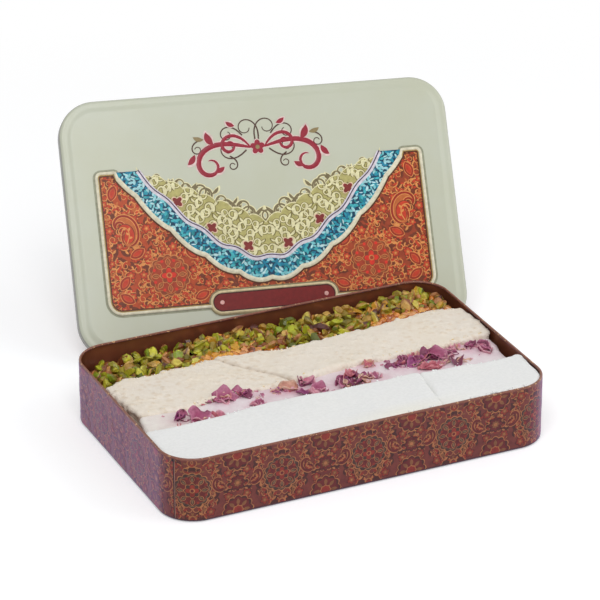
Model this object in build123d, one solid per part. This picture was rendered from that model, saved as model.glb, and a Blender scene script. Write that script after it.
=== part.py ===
"""Printed sweets tin with its lid off, and the four rows of sweets that it holds.

The tin is a shallow box of printed tinplate. One strip is bent round into the wall, with a
lock seam at the front left corner, a curl rolled inwards at the rim and a lip turned in at
the foot. A pressed bottom panel stands on that lip. The slip lid is one pressed sheet: a
skirt with a folded hem, a rounded shoulder, a ledge and a raised panel. It stands on its hem
behind the tin, leaning back, with its lower shoulder at the tin's rear right corner.

Frame: millimetres, +Z up, origin at the middle of the tin's bottom face, X along the long
sides, Y towards the back, where the lid stands.
"""
import os
from math import cos, hypot, radians, sin

from build123d import *

# The tin's outside
tin_length = 270.0
tin_width = 176.0
tin_height = 45.0
corner_radius = 24.0

# Tinplate and the turns in it
sheet = 0.3
rim_curl_radius = 1.1
rim_curl_end = -55.0
foot_bend_radius = 1.6
foot_lip = 3.4

# Lock seam in the wall, by its angle round the front left corner
seam_angle = 216.0
seam_groove_width = 0.6
seam_groove_depth = 0.2
seam_fold_width = 5.0
seam_fold_thickness = 0.5
seam_notch_diameter = 2.6

# Bottom panel
joint_clearance = 0.05
panel_joggle = 0.6
panel_joggle_overlap = 1.2
panel_flange_height = 5.0

# Slip lid
lid_clearance = 0.7
lid_depth = 11.5
lid_panel_rise = 1.0
lid_shoulder_radius = 2.5
lid_ledge_width = 4.0
lid_slope_width = 5.0
hem_height = 2.5

# Where the lid stands
lid_lean = 33.5
lid_turn = -13.5
lid_shift = 2.0
lid_gap = 0.3

# Sweets: four rows from the back to the front, with three cuts between them.
# A cut is given by its Y at the left and right ends of the tin's inside.
lift_clearance = 0.3
row_gap = 0.4
cut_rear = (45.0, 40.5)
cut_middle = (-5.0, -0.5)
cut_front = (-33.5, -39.0)

# Left ends of the rows stay clear of the wall by these lengths, at the back and front corner
pistachio_end_gap = (9.0, 11.0)
cream_end_gap = (13.0, 22.0)
rose_end_gap = (13.0, 7.0)
rose_right_gap = (4.0, 6.0)

# Broken joints across the cream and white rows, as X at the row's back and front
cream_break = (-46.0, -12.0)
white_break = (61.0, 55.0)

# Heights of the rows' tops at their left and right ends
pistachio_top = (28.0, 35.0)
cream_top = (38.0, 41.5)
rose_top = (37.5, 38.5)
white_top = (42.0, 44.0)

# Kernels on the brittle
kernel_length = 6.6
kernel_width = 4.6
kernel_height = 4.0
kernel_taper = 24.0
kernel_sides = 8
kernel_pitch = 9.4
kernel_margin = 4.4

# Petals on the rose bar
petal_length = 11.0
petal_width = 7.0
petal_thickness = 0.6
petal_pitch = 13.5
petal_wander = 7.0
petal_margin = 6.5

# Sizes that follow from those above
lid_side = lid_clearance + 2 * sheet
lid_length = tin_length + 2 * lid_side
lid_width = tin_width + 2 * lid_side
lid_corner = corner_radius + lid_side
lid_height = lid_depth + lid_panel_rise
shelf_bottom = sheet
shelf_top = 2 * sheet
clear_inset = 2 * rim_curl_radius + lift_clearance
inside_half_length = tin_length / 2 - clear_inset
inside_half_width = tin_width / 2 - clear_inset
wall_top = tin_height - rim_curl_radius


def rounded_plate(length, width, radius, low, high):
    """Upright prism on a rounded rectangle, from the height low to the height high."""
    outline = RectangleRounded(length, width, radius)
    return extrude(Pos(0, 0, low) * outline, high - low)


def loop_path(length, width, radius):
    """Rounded rectangle that starts at the middle of its right-hand side."""
    right, back = length / 2, width / 2
    turn = radius * (1 - cos(radians(45)))
    start = (right, 0)
    corners = [
        ThreePointArc((right, back - radius), (right - turn, back - turn), (right - radius, back)),
        ThreePointArc((radius - right, back), (turn - right, back - turn), (-right, back - radius)),
        ThreePointArc((-right, radius - back), (turn - right, turn - back), (radius - right, -back)),
        ThreePointArc((right - radius, -back), (right - turn, turn - back), (right, radius - back)),
    ]
    edges = [Line(start, corners[0] @ 0)]
    for corner, following in zip(corners, corners[1:]):
        edges += [corner, Line(corner @ 1, following @ 0)]
    edges += [corners[-1], Line(corners[-1] @ 1, start)]
    return Wire(edges)


def swept_sheet(outline, length, width, radius):
    """Sheet whose section, drawn as (inwards, up) from the outer face, runs round the loop."""
    plane = Plane(origin=(length / 2, 0, 0), x_dir=(-1, 0, 0), z_dir=(0, 1, 0))
    section = plane * make_face(outline)
    return sweep(section, path=loop_path(length, width, radius))


def wall_section():
    """Foot lip, foot bend, upright wall and rim curl of the tin's strip."""
    bend, curl = foot_bend_radius, rim_curl_radius
    inner_bend, inner_curl = bend - sheet, curl - sheet
    centre = Vector(curl, wall_top)
    end = Vector(cos(radians(rim_curl_end)), sin(radians(rim_curl_end)))
    outer_end = centre + end * curl
    inner_end = centre + end * inner_curl
    diagonal = cos(radians(45))
    return [
        Line((foot_lip, sheet), (foot_lip, 0)),
        Line((foot_lip, 0), (bend, 0)),
        ThreePointArc((bend, 0), (bend * (1 - diagonal), bend * (1 - diagonal)), (0, bend)),
        Line((0, bend), (0, wall_top)),
        ThreePointArc((0, wall_top), (curl, wall_top + curl), outer_end),
        Line(outer_end, inner_end),
        ThreePointArc(inner_end, (curl, wall_top + inner_curl), (sheet, wall_top)),
        Line((sheet, wall_top), (sheet, bend)),
        ThreePointArc(
            (sheet, bend),
            (bend - inner_bend * diagonal, bend - inner_bend * diagonal),
            (bend, sheet),
        ),
        Line((bend, sheet), (foot_lip, sheet)),
    ]


def seam_place():
    """Place at the seam on the wall's outer face, with X pointing out of the corner."""
    centre = Pos(-tin_length / 2 + corner_radius, -tin_width / 2 + corner_radius, 0)
    return centre * Rot(0, 0, seam_angle) * Pos(corner_radius, 0, 0)


def body_wall():
    """Wall strip with its seam: a groove outside, the folded layers inside, a notch on top."""
    wall = swept_sheet(wall_section(), tin_length, tin_width, corner_radius)
    place = seam_place()
    low, high = shelf_top + panel_flange_height + 1, wall_top - rim_curl_radius - 1
    fold = extrude(
        Pos(0, 0, low) * place * Pos(-sheet - seam_fold_thickness / 2, 0, 0)
        * Rectangle(seam_fold_thickness + sheet, seam_fold_width),
        high - low,
    )
    outside = rounded_plate(
        tin_length - sheet, tin_width - sheet, corner_radius - sheet / 2, 0, tin_height
    )
    wall = wall + (fold & outside)
    groove_low, groove_high = foot_bend_radius, wall_top - rim_curl_radius / 2
    groove = extrude(
        Pos(0, 0, groove_low) * place * Rectangle(2 * seam_groove_depth, seam_groove_width),
        groove_high - groove_low,
    )
    notch = place * Pos(0, 0, groove_high) * Rot(0, 90, 0) * Cylinder(
        seam_notch_diameter / 2, 2 * (sheet + joint_clearance)
    )
    return wall - groove - notch


def bottom_panel():
    """Pressed pan: its middle stands on the table, its border on the foot lip of the wall."""
    middle_inset = foot_lip + panel_joggle
    shelf_inset = middle_inset + panel_joggle_overlap
    outer_inset = sheet + joint_clearance
    inner_inset = outer_inset + sheet

    def plate(inset, low, high):
        radius = corner_radius - inset
        return rounded_plate(tin_length - 2 * inset, tin_width - 2 * inset, radius, low, high)

    middle = plate(middle_inset, 0, shelf_bottom)
    edge = plate(outer_inset, shelf_bottom, shelf_top + panel_flange_height)
    edge = fillet(edge.faces().sort_by(Axis.Z)[0].edges(), foot_bend_radius - sheet)
    hollow = plate(inner_inset, shelf_top, shelf_top + panel_flange_height)
    hollow = fillet(hollow.faces().sort_by(Axis.Z)[0].edges(), foot_bend_radius - 2 * sheet)
    opening = plate(shelf_inset, shelf_bottom, shelf_top)
    return middle + (edge - hollow - opening)


def lid_section():
    """Folded hem, skirt, shoulder, ledge and slope of the lid's edge."""
    bend = lid_shoulder_radius
    inner_bend = bend - sheet
    diagonal = cos(radians(45))
    ledge_end = lid_ledge_width
    slope_end = lid_ledge_width + lid_slope_width
    return [
        Line((0, sheet), (0, lid_depth - bend)),
        ThreePointArc(
            (0, lid_depth - bend),
            (bend * (1 - diagonal), lid_depth - bend * (1 - diagonal)),
            (bend, lid_depth),
        ),
        Line((bend, lid_depth), (ledge_end, lid_depth)),
        Line((ledge_end, lid_depth), (slope_end, lid_height)),
        Line((slope_end, lid_height), (slope_end, lid_height - sheet)),
        Line((slope_end, lid_height - sheet), (ledge_end, lid_depth - sheet)),
        Line((ledge_end, lid_depth - sheet), (bend, lid_depth - sheet)),
        ThreePointArc(
            (bend, lid_depth - sheet),
            (bend - inner_bend * diagonal, lid_depth - bend + inner_bend * diagonal),
            (sheet, lid_depth - bend),
        ),
        Line((sheet, lid_depth - bend), (sheet, hem_height)),
        Line((sheet, hem_height), (2 * sheet, hem_height)),
        Line((2 * sheet, hem_height), (2 * sheet, sheet)),
        ThreePointArc((2 * sheet, sheet), (sheet, 0), (0, sheet)),
    ]


def lid_place():
    """Rest place of the lid: hem on the table, shoulder close to the tin's rear corner."""
    lean, turn = radians(lid_lean), radians(lid_turn)
    hem_y, hem_z = -lid_width / 2 + sheet, sheet
    hem_low = hem_y * cos(lean) + hem_z * sin(lean) - sheet
    shoulder_y = -lid_width / 2 + lid_shoulder_radius
    shoulder_z = lid_depth - lid_shoulder_radius
    shoulder_front = shoulder_y * sin(lean) - shoulder_z * cos(lean) - lid_shoulder_radius
    corner_x, corner_y = tin_length / 2 - corner_radius, tin_width / 2 - corner_radius
    corner_reach = -corner_x * sin(turn) + corner_y * cos(turn) + corner_radius
    back = corner_reach + lid_gap - shoulder_front
    x = lid_shift * cos(turn) - back * sin(turn)
    y = lid_shift * sin(turn) + back * cos(turn)
    return Pos(x, y, -hem_low) * Rot(0, 0, lid_turn) * Rot(90 - lid_lean, 0, 0)


def lid_shell():
    """Slip lid, pressed from one sheet."""
    edge = swept_sheet(lid_section(), lid_length, lid_width, lid_corner)
    inset = lid_ledge_width + lid_slope_width
    panel = rounded_plate(
        lid_length - 2 * inset, lid_width - 2 * inset, lid_corner - inset,
        lid_height - sheet, lid_height,
    )
    return lid_place() * (edge + panel)


def middle_of(cut):
    """Y of a cut at the middle of its length."""
    return (cut[0] + cut[1]) / 2


def row_side(cut, shift):
    """Ends of a row's side along a cut, moved by shift in Y."""
    left, right = cut
    return (-inside_half_length, left + shift), (inside_half_length, right + shift)


def wall_side(y):
    """Ends of a row's outer side, along the tin's wall."""
    return (-inside_half_length, y), (inside_half_length, y)


def row_block(back_side, front_side, top):
    """Row of sweets between two sides, trimmed to the tin's inside, with a sloping top."""
    (back_left, back_right), (front_left, front_right) = back_side, front_side
    outline = Polyline(back_left, back_right, front_right, front_left, close=True)
    block = extrude(Pos(0, 0, shelf_top) * make_face(outline), tin_height)
    inside = rounded_plate(
        2 * inside_half_length, 2 * inside_half_width, corner_radius - clear_inset,
        shelf_top, tin_height,
    )
    return (block & inside) & top_wedge(top)


def top_wedge(top):
    """Everything under a row's sloping top, which runs from its left to its right height."""
    left, right = -tin_length / 2, tin_length / 2
    outline = Polyline((left, 0), (right, 0), (right, top[1]), (left, top[0]), close=True)
    return extrude(Plane.XZ * make_face(outline), tin_width / 2, both=True)


def end_piece(back_x, front_x, back_y, front_y, side):
    """Block that covers what lies beyond a slanted end, to the left (-1) or right (1) of it."""
    far = side * tin_length
    slope = (back_x - front_x) / (back_y - front_y)
    reach = tin_width
    top_x = back_x + slope * (reach - back_y)
    low_x = back_x + slope * (-reach - back_y)
    outline = Polyline((top_x, reach), (far, reach), (far, -reach), (low_x, -reach), close=True)
    return extrude(make_face(outline), 2 * tin_height)


def pistachio_block():
    """Caramel slab of the rear row."""
    block = row_block(
        wall_side(inside_half_width), row_side(cut_rear, row_gap / 2), pistachio_top
    )
    back, front = (-tin_length / 2 + gap for gap in pistachio_end_gap)
    return block - end_piece(back, front, inside_half_width, middle_of(cut_rear), -1)


def cream_block():
    """Second row before it is broken in two."""
    block = row_block(
        row_side(cut_rear, -row_gap / 2), row_side(cut_middle, row_gap / 2), cream_top
    )
    back, front = (-tin_length / 2 + gap for gap in cream_end_gap)
    return block - end_piece(back, front, middle_of(cut_rear), middle_of(cut_middle), -1)


def rose_block():
    """Third row, the one under the petals."""
    block = row_block(
        row_side(cut_middle, -row_gap / 2), row_side(cut_front, row_gap / 2), rose_top
    )
    back_y, front_y = middle_of(cut_middle), middle_of(cut_front)
    back, front = (-tin_length / 2 + gap for gap in rose_end_gap)
    block = block - end_piece(back, front, back_y, front_y, -1)
    back, front = (tin_length / 2 - gap for gap in rose_right_gap)
    return block - end_piece(back, front, back_y, front_y, 1)


def white_block():
    """Front row before it is broken in two."""
    return row_block(
        row_side(cut_front, -row_gap / 2), wall_side(-inside_half_width), white_top
    )


def broken(block, break_x, back_y, front_y):
    """The two lengths of a row on either side of its broken joint."""
    half = row_gap / 2
    beyond_right = end_piece(break_x[0] - half, break_x[1] - half, back_y, front_y, 1)
    beyond_left = end_piece(break_x[0] + half, break_x[1] + half, back_y, front_y, -1)
    return block - beyond_right, block - beyond_left


def clear_of_corners(x, y, margin):
    """True where a small piece with this margin clears the tin's rounded corners."""
    radius = corner_radius - clear_inset
    beyond_x = max(abs(x) - inside_half_length + radius, 0)
    beyond_y = max(abs(y) - inside_half_width + radius, 0)
    return hypot(beyond_x, beyond_y) <= radius - margin


def scatter(index, phase):
    """Even, unordered number between 0 and 1 for the piece with this index."""
    golden = 0.6180339887
    return (index * golden + phase) % 1.0


def top_place(x, y, top):
    """Place on a row's sloping top, with Z square to it."""
    run = (x + tin_length / 2) / tin_length
    height = top[0] + (top[1] - top[0]) * run
    rise = (top[1] - top[0]) / tin_length
    plane = Plane(origin=(x, y, height), x_dir=(1, 0, rise), z_dir=(-rise, 0, 1))
    return plane.location


def kernel_outline():
    """Outline of a kernel, with its corners on an oval."""
    corners = []
    for index in range(kernel_sides):
        turn = radians(360 / kernel_sides * index)
        corners.append((kernel_length / 2 * cos(turn), kernel_width / 2 * sin(turn)))
    return Polyline(*corners, close=True)


def kernel_group():
    """Pistachio kernels, each standing on the caramel slab."""
    kernel = extrude(make_face(kernel_outline()), kernel_height, taper=kernel_taper)
    left = -tin_length / 2 + max(pistachio_end_gap) + kernel_margin
    right = inside_half_length - kernel_margin
    low = max(cut_rear) + kernel_margin
    high = inside_half_width - kernel_margin
    columns = int((right - left) / kernel_pitch)
    rows = int((high - low) / kernel_pitch) + 1
    shift = (high - low) / (rows - 1)
    kernels = []
    for row in range(rows):
        for column in range(columns):
            index = row * columns + column
            x = left + (column + 0.5 * (row % 2)) * kernel_pitch
            y = low + row * shift
            if clear_of_corners(x, y, kernel_margin):
                place = top_place(x, y, pistachio_top) * Rot(0, 0, 360 * scatter(index, 0.2))
                kernels.append(place * kernel)
    return kernels


def petal_group():
    """Dried rose petals, lying on the rose bar."""
    petal = extrude(Ellipse(petal_length / 2, petal_width / 2), petal_thickness)
    left = -tin_length / 2 + max(rose_end_gap) + petal_margin
    right = tin_length / 2 - max(rose_right_gap) - petal_margin
    columns = int((right - left) / petal_pitch)
    middle = (middle_of(cut_middle) + middle_of(cut_front)) / 2
    petals = []
    for column in range(columns):
        x = left + (column + 0.5) * petal_pitch
        y = middle + petal_wander * (scatter(column, 0.4) - 0.5)
        place = top_place(x, y, rose_top) * Rot(0, 0, 180 * scatter(column, 0.7))
        petals.append(place * petal)
    return petals


def build_nodes():
    """Every sub-part by its name."""
    rear_y, middle_y, front_y = middle_of(cut_rear), middle_of(cut_middle), middle_of(cut_front)
    cream_left, cream_right = broken(cream_block(), cream_break, rear_y, middle_y)
    white_long, white_short = broken(white_block(), white_break, front_y, -inside_half_width)
    return {
        "body_wall": body_wall(),
        "bottom_panel": bottom_panel(),
        "lid_shell": lid_shell(),
        "pistachio_bar": pistachio_block(),
        "pistachio_kernels": Compound(children=kernel_group()),
        "cream_bar_left": cream_left,
        "cream_bar_right": cream_right,
        "rose_bar": rose_block(),
        "rose_petals": Compound(children=petal_group()),
        "white_bar_long": white_long,
        "white_bar_short": white_short,
    }


os.makedirs("parts", exist_ok=True)
for name, shape in build_nodes().items():
    export_step(shape, f"parts/{name}.step")
    print(name, "volume", round(shape.volume, 1), "mm3")
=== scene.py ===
"""Printed sweets tin with its lid off: the tinplate, its print, the sweets, light and camera.

Every surface is worked out with numpy in millimetres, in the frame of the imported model, and
goes into its mesh in metres.
"""

import bpy
import bmesh
import numpy as np
from mathutils import Matrix


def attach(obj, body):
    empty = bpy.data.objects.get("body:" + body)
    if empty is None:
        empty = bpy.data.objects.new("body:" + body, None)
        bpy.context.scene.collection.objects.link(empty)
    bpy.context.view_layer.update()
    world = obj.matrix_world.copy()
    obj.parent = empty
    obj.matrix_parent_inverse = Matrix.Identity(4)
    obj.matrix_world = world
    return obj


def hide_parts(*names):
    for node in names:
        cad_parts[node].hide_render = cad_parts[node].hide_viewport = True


bl_info = {
    "name": "Sweets Tin",
    "version": (1, 0, 0),
    "blender": (4, 5, 0),
    "location": "View3D > Sidebar > Sweets Tin",
    "description": "Dresses a packed sweets tin in printed tinplate and fills it with sweets",
    "category": "Add Mesh",
}

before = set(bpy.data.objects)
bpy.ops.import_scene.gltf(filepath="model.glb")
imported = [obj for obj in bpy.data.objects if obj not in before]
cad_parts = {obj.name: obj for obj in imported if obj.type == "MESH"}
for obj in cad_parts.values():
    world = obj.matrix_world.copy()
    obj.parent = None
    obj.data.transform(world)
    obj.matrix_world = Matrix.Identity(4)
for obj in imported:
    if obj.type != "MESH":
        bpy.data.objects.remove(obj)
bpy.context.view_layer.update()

PANEL_TAB = "Sweets Tin"

# Millimetres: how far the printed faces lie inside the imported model's, so that the print's
# relief stays within it; the seam's place along the wall from the middle of the front; the
# foot's lip; the flat part of the wall that takes print; the gaps from a bar of sweets to the
# cut beside it and to the wall.
LID_SETBACK = 0.06
WALL_SETBACK = 0.24
SEAM_PLACE = -133.6
FOOT_LIP = 3.4
PRINT_LOW, PRINT_HIGH = 1.8, 43.4
CUT_GAP = 0.3
WALL_GAP = 2.6

# Radians: about a whole turn, for pieces that lie any way round
ANY_WAY = 6.28


# Settings


def ink(red, green, blue):
    """Linear tint from a colour as it shows on a screen, each part from 0 to 255."""
    shown = np.array([red, green, blue]) / 255.0
    return np.where(shown <= 0.04045, shown / 12.92, ((shown + 0.055) / 1.055) ** 2.4)


def inks(*shown):
    """Linear tints, a row for each colour as it shows on a screen."""
    return np.array([ink(*parts) for parts in shown])


def length_setting(label, about, millimetres):
    """Length property, given in millimetres and kept in metres."""
    return bpy.props.FloatProperty(
        name=label, description=about, default=millimetres / 1000, min=0.0,
        precision=4, unit="LENGTH",
    )


def angle_setting(label, about, degrees):
    """Angle property, given in degrees and kept in radians."""
    return bpy.props.FloatProperty(
        name=label, description=about, default=float(np.radians(degrees)), subtype="ANGLE"
    )


def colour_setting(label, about, red, green, blue):
    """Colour property, given as it shows on a screen and kept linear."""
    return bpy.props.FloatVectorProperty(
        name=label, description=about, size=3, subtype="COLOR", min=0.0, max=1.0,
        default=ink(red, green, blue).tolist(),
    )


class SweetsTinSizes(bpy.types.PropertyGroup):
    """Sizes of the tin and its lid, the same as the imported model's."""

    length: length_setting("Length", "Tin's outside length", 270.0)
    width: length_setting("Width", "Tin's outside width", 176.0)
    height: length_setting("Height", "Tin's height", 45.0)
    corner: length_setting("Corner radius", "Outside radius of the tin's corners", 24.0)
    sheet: length_setting("Sheet", "Thickness of the tinplate", 0.3)
    rim_curl: length_setting("Rim curl", "Outside radius of the rolled rim", 1.1)
    foot_bend: length_setting("Foot bend", "Radius of the bend at the foot", 1.6)
    lid_side: length_setting("Lid side", "How far the lid stands out past the tin", 1.3)
    lid_depth: length_setting("Lid depth", "Height of the lid's skirt and shoulder", 11.5)
    lid_rise: length_setting("Panel rise", "How far the lid's panel stands up", 1.0)
    lid_shoulder: length_setting("Shoulder", "Radius of the lid's shoulder", 2.5)
    lid_ledge: length_setting("Ledge", "Width of the ledge inside the shoulder", 4.0)
    lid_slope: length_setting("Slope", "Width of the slope up to the panel", 5.0)
    lid_hem: length_setting("Hem", "Height of the folded hem", 2.5)
    lid_lean: angle_setting("Lean", "How far the lid leans back", 33.5)
    lid_turn: angle_setting("Turn", "How far the lid is turned from the tin", -13.5)
    lid_shift: length_setting("Shift", "Lid's shift along the tin", 2.0)
    lid_gap: length_setting("Gap", "Gap between the lid's shoulder and the tin", 0.3)


class SweetsTinColours(bpy.types.PropertyGroup):
    """Colours of the print and the sweets."""

    cream: colour_setting("Cream ground", "Ground of the lid's print", 191, 194, 176)
    red: colour_setting("Red", "Ground of the red carpet print", 188, 76, 36)
    wall_red: colour_setting("Wall red", "Ground of the print round the wall", 116, 54, 38)
    lacquer: colour_setting("Lacquer", "Gold lacquer inside the tin", 146, 88, 60)
    caramel: colour_setting("Caramel", "Brittle under the pistachios", 150, 80, 32)
    nougat: colour_setting("Cream nougat", "Second row", 237, 232, 229)
    rose: colour_setting("Rose nougat", "Third row", 233, 223, 224)
    white: colour_setting("White nougat", "Front row", 238, 239, 240)


class SweetsTinSettings(bpy.types.PropertyGroup):
    """All settings of the sweets tin."""

    sizes: bpy.props.PointerProperty(type=SweetsTinSizes, name="Sizes")
    colours: bpy.props.PointerProperty(type=SweetsTinColours, name="Colours")


def millimetres(name):
    """A length from the settings, in millimetres."""
    return getattr(bpy.context.scene.sweets_tin.sizes, name) * 1000


def colour(name):
    """A colour from the settings."""
    return np.array(getattr(bpy.context.scene.sweets_tin.colours, name))


# Points, shares and noise


def points_at(*parts):
    """Points from their coordinates, each an array or one number for all of them."""
    return np.stack(np.broadcast_arrays(*parts), axis=-1)


def held(values):
    """The values, held from 0 to 1."""
    return np.clip(values, 0, 1)


def blended(first, second, share):
    """The first tint where the share is 0, the second where it is 1."""
    return first * (1 - share[..., None]) + second * share[..., None]


def bell(x, middle, reach, power=2):
    """Bell that is 1 at its middle and falls off past its reach, faster for a higher power."""
    return np.exp(-(((x - middle) / reach) ** power))


def near(x, places, reach):
    """How near each point is to the nearest of some places, falling from 1 as a bell."""
    away = np.linalg.norm(x[..., None, :] - places, axis=-1).min(axis=-1)
    return bell(away, 0.0, reach)


def lattice(cells, seed):
    """Even number from 0 to 1 for each whole-number point, from products of large primes."""
    x, y, z = (cells[..., axis].astype(np.int64) for axis in range(3))
    mixed = (x * 374761393 + y * 668265263 + z * 1440662683 + seed * 1274126177) & 0xFFFFFFFF
    mixed = ((mixed ^ (mixed >> 13)) * 1274126177) & 0xFFFFFFFF
    return (mixed ^ (mixed >> 16)) / 4294967295.0


def ripple(points, size, seed):
    """Smooth noise from -1 to 1: lattice values size apart, blended by 3t^2 - 2t^3."""
    scaled = points / size
    cell = np.floor(scaled)
    part = scaled - cell
    part = part * part * (3 - 2 * part)
    total = np.zeros(points.shape[:-1])
    for corner in np.ndindex(2, 2, 2):
        share = np.prod(np.where(corner, part, 1 - part), axis=-1)
        total = total + share * lattice(cell + np.array(corner), seed)
    return total * 2 - 1


def grain(points, size, seed):
    """Sum of three ripples, each half as large and half as strong as the one before."""
    return sum(ripple(points, size / 2 ** layer, seed + layer) / 2 ** layer for layer in range(3))


def lumps(points, size, seed):
    """Distance to the nearest of scattered points, one to a cell of that size, over the size."""
    scaled = points / size
    cell = np.floor(scaled)
    nearest = np.full(points.shape[:-1], 9.0)
    for step in np.ndindex(3, 3, 3):
        neighbour = cell + np.array(step) - 1
        place = np.stack([lattice(neighbour, seed + axis) for axis in range(3)], axis=-1)
        nearest = np.minimum(nearest, np.linalg.norm(neighbour + place - scaled, axis=-1))
    return nearest


# Meshes


def add_mesh(name, points, faces, material, tints=None, smooth=True):
    """New object from points in millimetres, quads and a tint for each point."""
    mesh = bpy.data.meshes.new(name)
    points = np.asarray(points, dtype=np.float64).reshape(-1, 3) / 1000
    mesh.vertices.add(len(points))
    mesh.vertices.foreach_set("co", points.ravel())
    mesh.loops.add(faces.size)
    mesh.loops.foreach_set("vertex_index", faces.ravel().astype(np.int32))
    mesh.polygons.add(len(faces))
    mesh.polygons.foreach_set("loop_start", np.arange(0, faces.size, 4, dtype=np.int32))
    mesh.update(calc_edges=True)
    mesh.validate()
    if tints is not None:
        layer = mesh.color_attributes.new("tint", "FLOAT_COLOR", "POINT")
        whole = np.concatenate([tints.reshape(-1, 3), np.ones((len(points), 1))], axis=1)
        layer.data.foreach_set("color", whole.ravel())
    mesh.polygons.foreach_set("use_smooth", np.full(len(mesh.polygons), smooth))
    mesh.materials.append(material)
    piece = bpy.data.objects.new(name, mesh)
    bpy.context.scene.collection.objects.link(piece)
    return piece


def grid_faces(rows, columns, around=False):
    """Quads of a grid of points, closed from its last column to its first if around."""
    row = np.arange(rows - 1)[:, None]
    column = np.arange(columns if around else columns - 1)[None, :]
    following = (column + 1) % columns
    first = row * columns + column
    second = row * columns + following
    return np.stack([first, second, second + columns, first + columns], -1).reshape(-1, 4)


def repeated(faces, copies, points):
    """Faces of copies of a grid that follow each other, each with that many points."""
    return (faces + np.arange(copies)[:, None, None] * points).reshape(-1, 4)


def close_up(piece):
    """Merges points that coincide, such as those of a pole, and drops the empty faces."""
    distance = 0.00001
    work = bmesh.new()
    work.from_mesh(piece.data)
    bmesh.ops.remove_doubles(work, verts=work.verts, dist=distance)
    bmesh.ops.dissolve_degenerate(work, edges=work.edges, dist=distance / 2)
    work.to_mesh(piece.data)
    work.free()
    piece.data.update()


def add_shell(name, rings, material, tints=None, flipped=False):
    """Surface through closed rings of points, with those that coincide merged."""
    faces = grid_faces(*rings.shape[:2], around=True)
    piece = add_mesh(name, rings, faces[:, ::-1] if flipped else faces, material, tints)
    close_up(piece)
    return piece


def finish_piece(piece, body, slot, *nodes):
    """The piece rides on its body and stands for its CAD nodes, which are hidden. The slot is not
    used.
    """
    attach(piece, body)
    if nodes:
        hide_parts(*nodes)


# Tinplate surfaces


def loop_steps(per_corner, per_long, per_short):
    """Steps round a rounded rectangle, from the right-hand side's middle: which corner or side
    each lies on, and how far along it from 0 to 1."""
    kinds, shares = [], []
    for corner in range(4):
        side = per_short if corner % 2 == 0 else per_long
        kinds += [corner] * per_corner + [corner + 4] * side
        shares += list(np.arange(per_corner) / per_corner) + list(np.arange(side) / side)
    return np.array(kinds), np.array(shares)


def loop_points(steps, half_length, half_width, radius):
    """Points of a rounded rectangle: corner c is its centre plus radius times (cos, sin) of
    90c + 90t degrees, and side c runs straight from corner c to the next."""
    kinds, shares = steps
    corner = kinds % 4
    turn = np.where(kinds < 4, corner + shares, corner + 1.0) * np.pi / 2
    along = np.where(kinds < 4, 0.0, shares)

    def coordinate(signs, centre, reach):
        """One coordinate: at its corner, and moved on towards the next one along a side."""
        centres = np.array(signs) * centre
        here, there = centres[corner] + reach, centres[(corner + 1) % 4] + reach
        return here + (there - here) * along

    x = coordinate([1, -1, -1, 1], half_length - radius, radius * np.cos(turn))
    y = coordinate([1, 1, -1, -1], half_width - radius, radius * np.sin(turn))
    return x, y


def carried_section(section, steps, half_length, half_width, radius):
    """Section of (inset, height) points carried round the loop: the loop shrinks by each inset,
    and a loop too small for its corner radius takes a smaller one."""
    rings = []
    for inset, height in section:
        length, width = half_length - inset, half_width - inset
        turn = min(max(radius - inset, 6.0 if inset > 0 else 0.0), max(width, 0.0))
        x, y = loop_points(steps, length, max(width, 0.0), turn)
        rings.append(points_at(x, y, height))
    return np.array(rings)


def arc(centre, radius, start, end, count):
    """Points (inset, height) on an arc, by angles in degrees from the inward direction."""
    turn = np.radians(np.linspace(start, end, count))
    return points_at(centre[0] + radius * np.cos(turn), centre[1] + radius * np.sin(turn))


def run(start, end, count):
    """Evenly spaced points of a straight run, without its last one."""
    share = np.linspace(0, 1, count, endpoint=False)[:, None]
    return np.array(start) * (1 - share) + np.array(end) * share


def wall_section():
    """Section of the tin's wall: foot lip, foot bend, outer face, rolled rim, inner face."""
    sheet, bend, curl = millimetres("sheet"), millimetres("foot_bend"), millimetres("rim_curl")
    top = millimetres("height") - curl
    back = WALL_SETBACK
    return np.concatenate([
        run((FOOT_LIP, 0.0), (bend, 0.0), 3),
        arc((bend, bend), bend - back, 270, 180, 9)[:-1],
        run((back, bend), (back, top), 40),
        arc((curl, top), curl - back, 180, -55, 22)[:-1],
        arc((curl, top), curl - sheet, -55, 180, 14),
    ])


def lining_section():
    """Section of the lining: inner face, inside of the foot bend, foot lip."""
    sheet, bend = millimetres("sheet"), millimetres("foot_bend")
    top = millimetres("height") - millimetres("rim_curl")
    return np.concatenate([
        run((sheet, top), (sheet, bend), 24),
        arc((bend, bend), bend - sheet, 180, 270, 5),
        run((bend, sheet), (FOOT_LIP, sheet), 2),
        np.array([[FOOT_LIP, sheet], [FOOT_LIP, 0.0]]),
    ])


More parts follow.
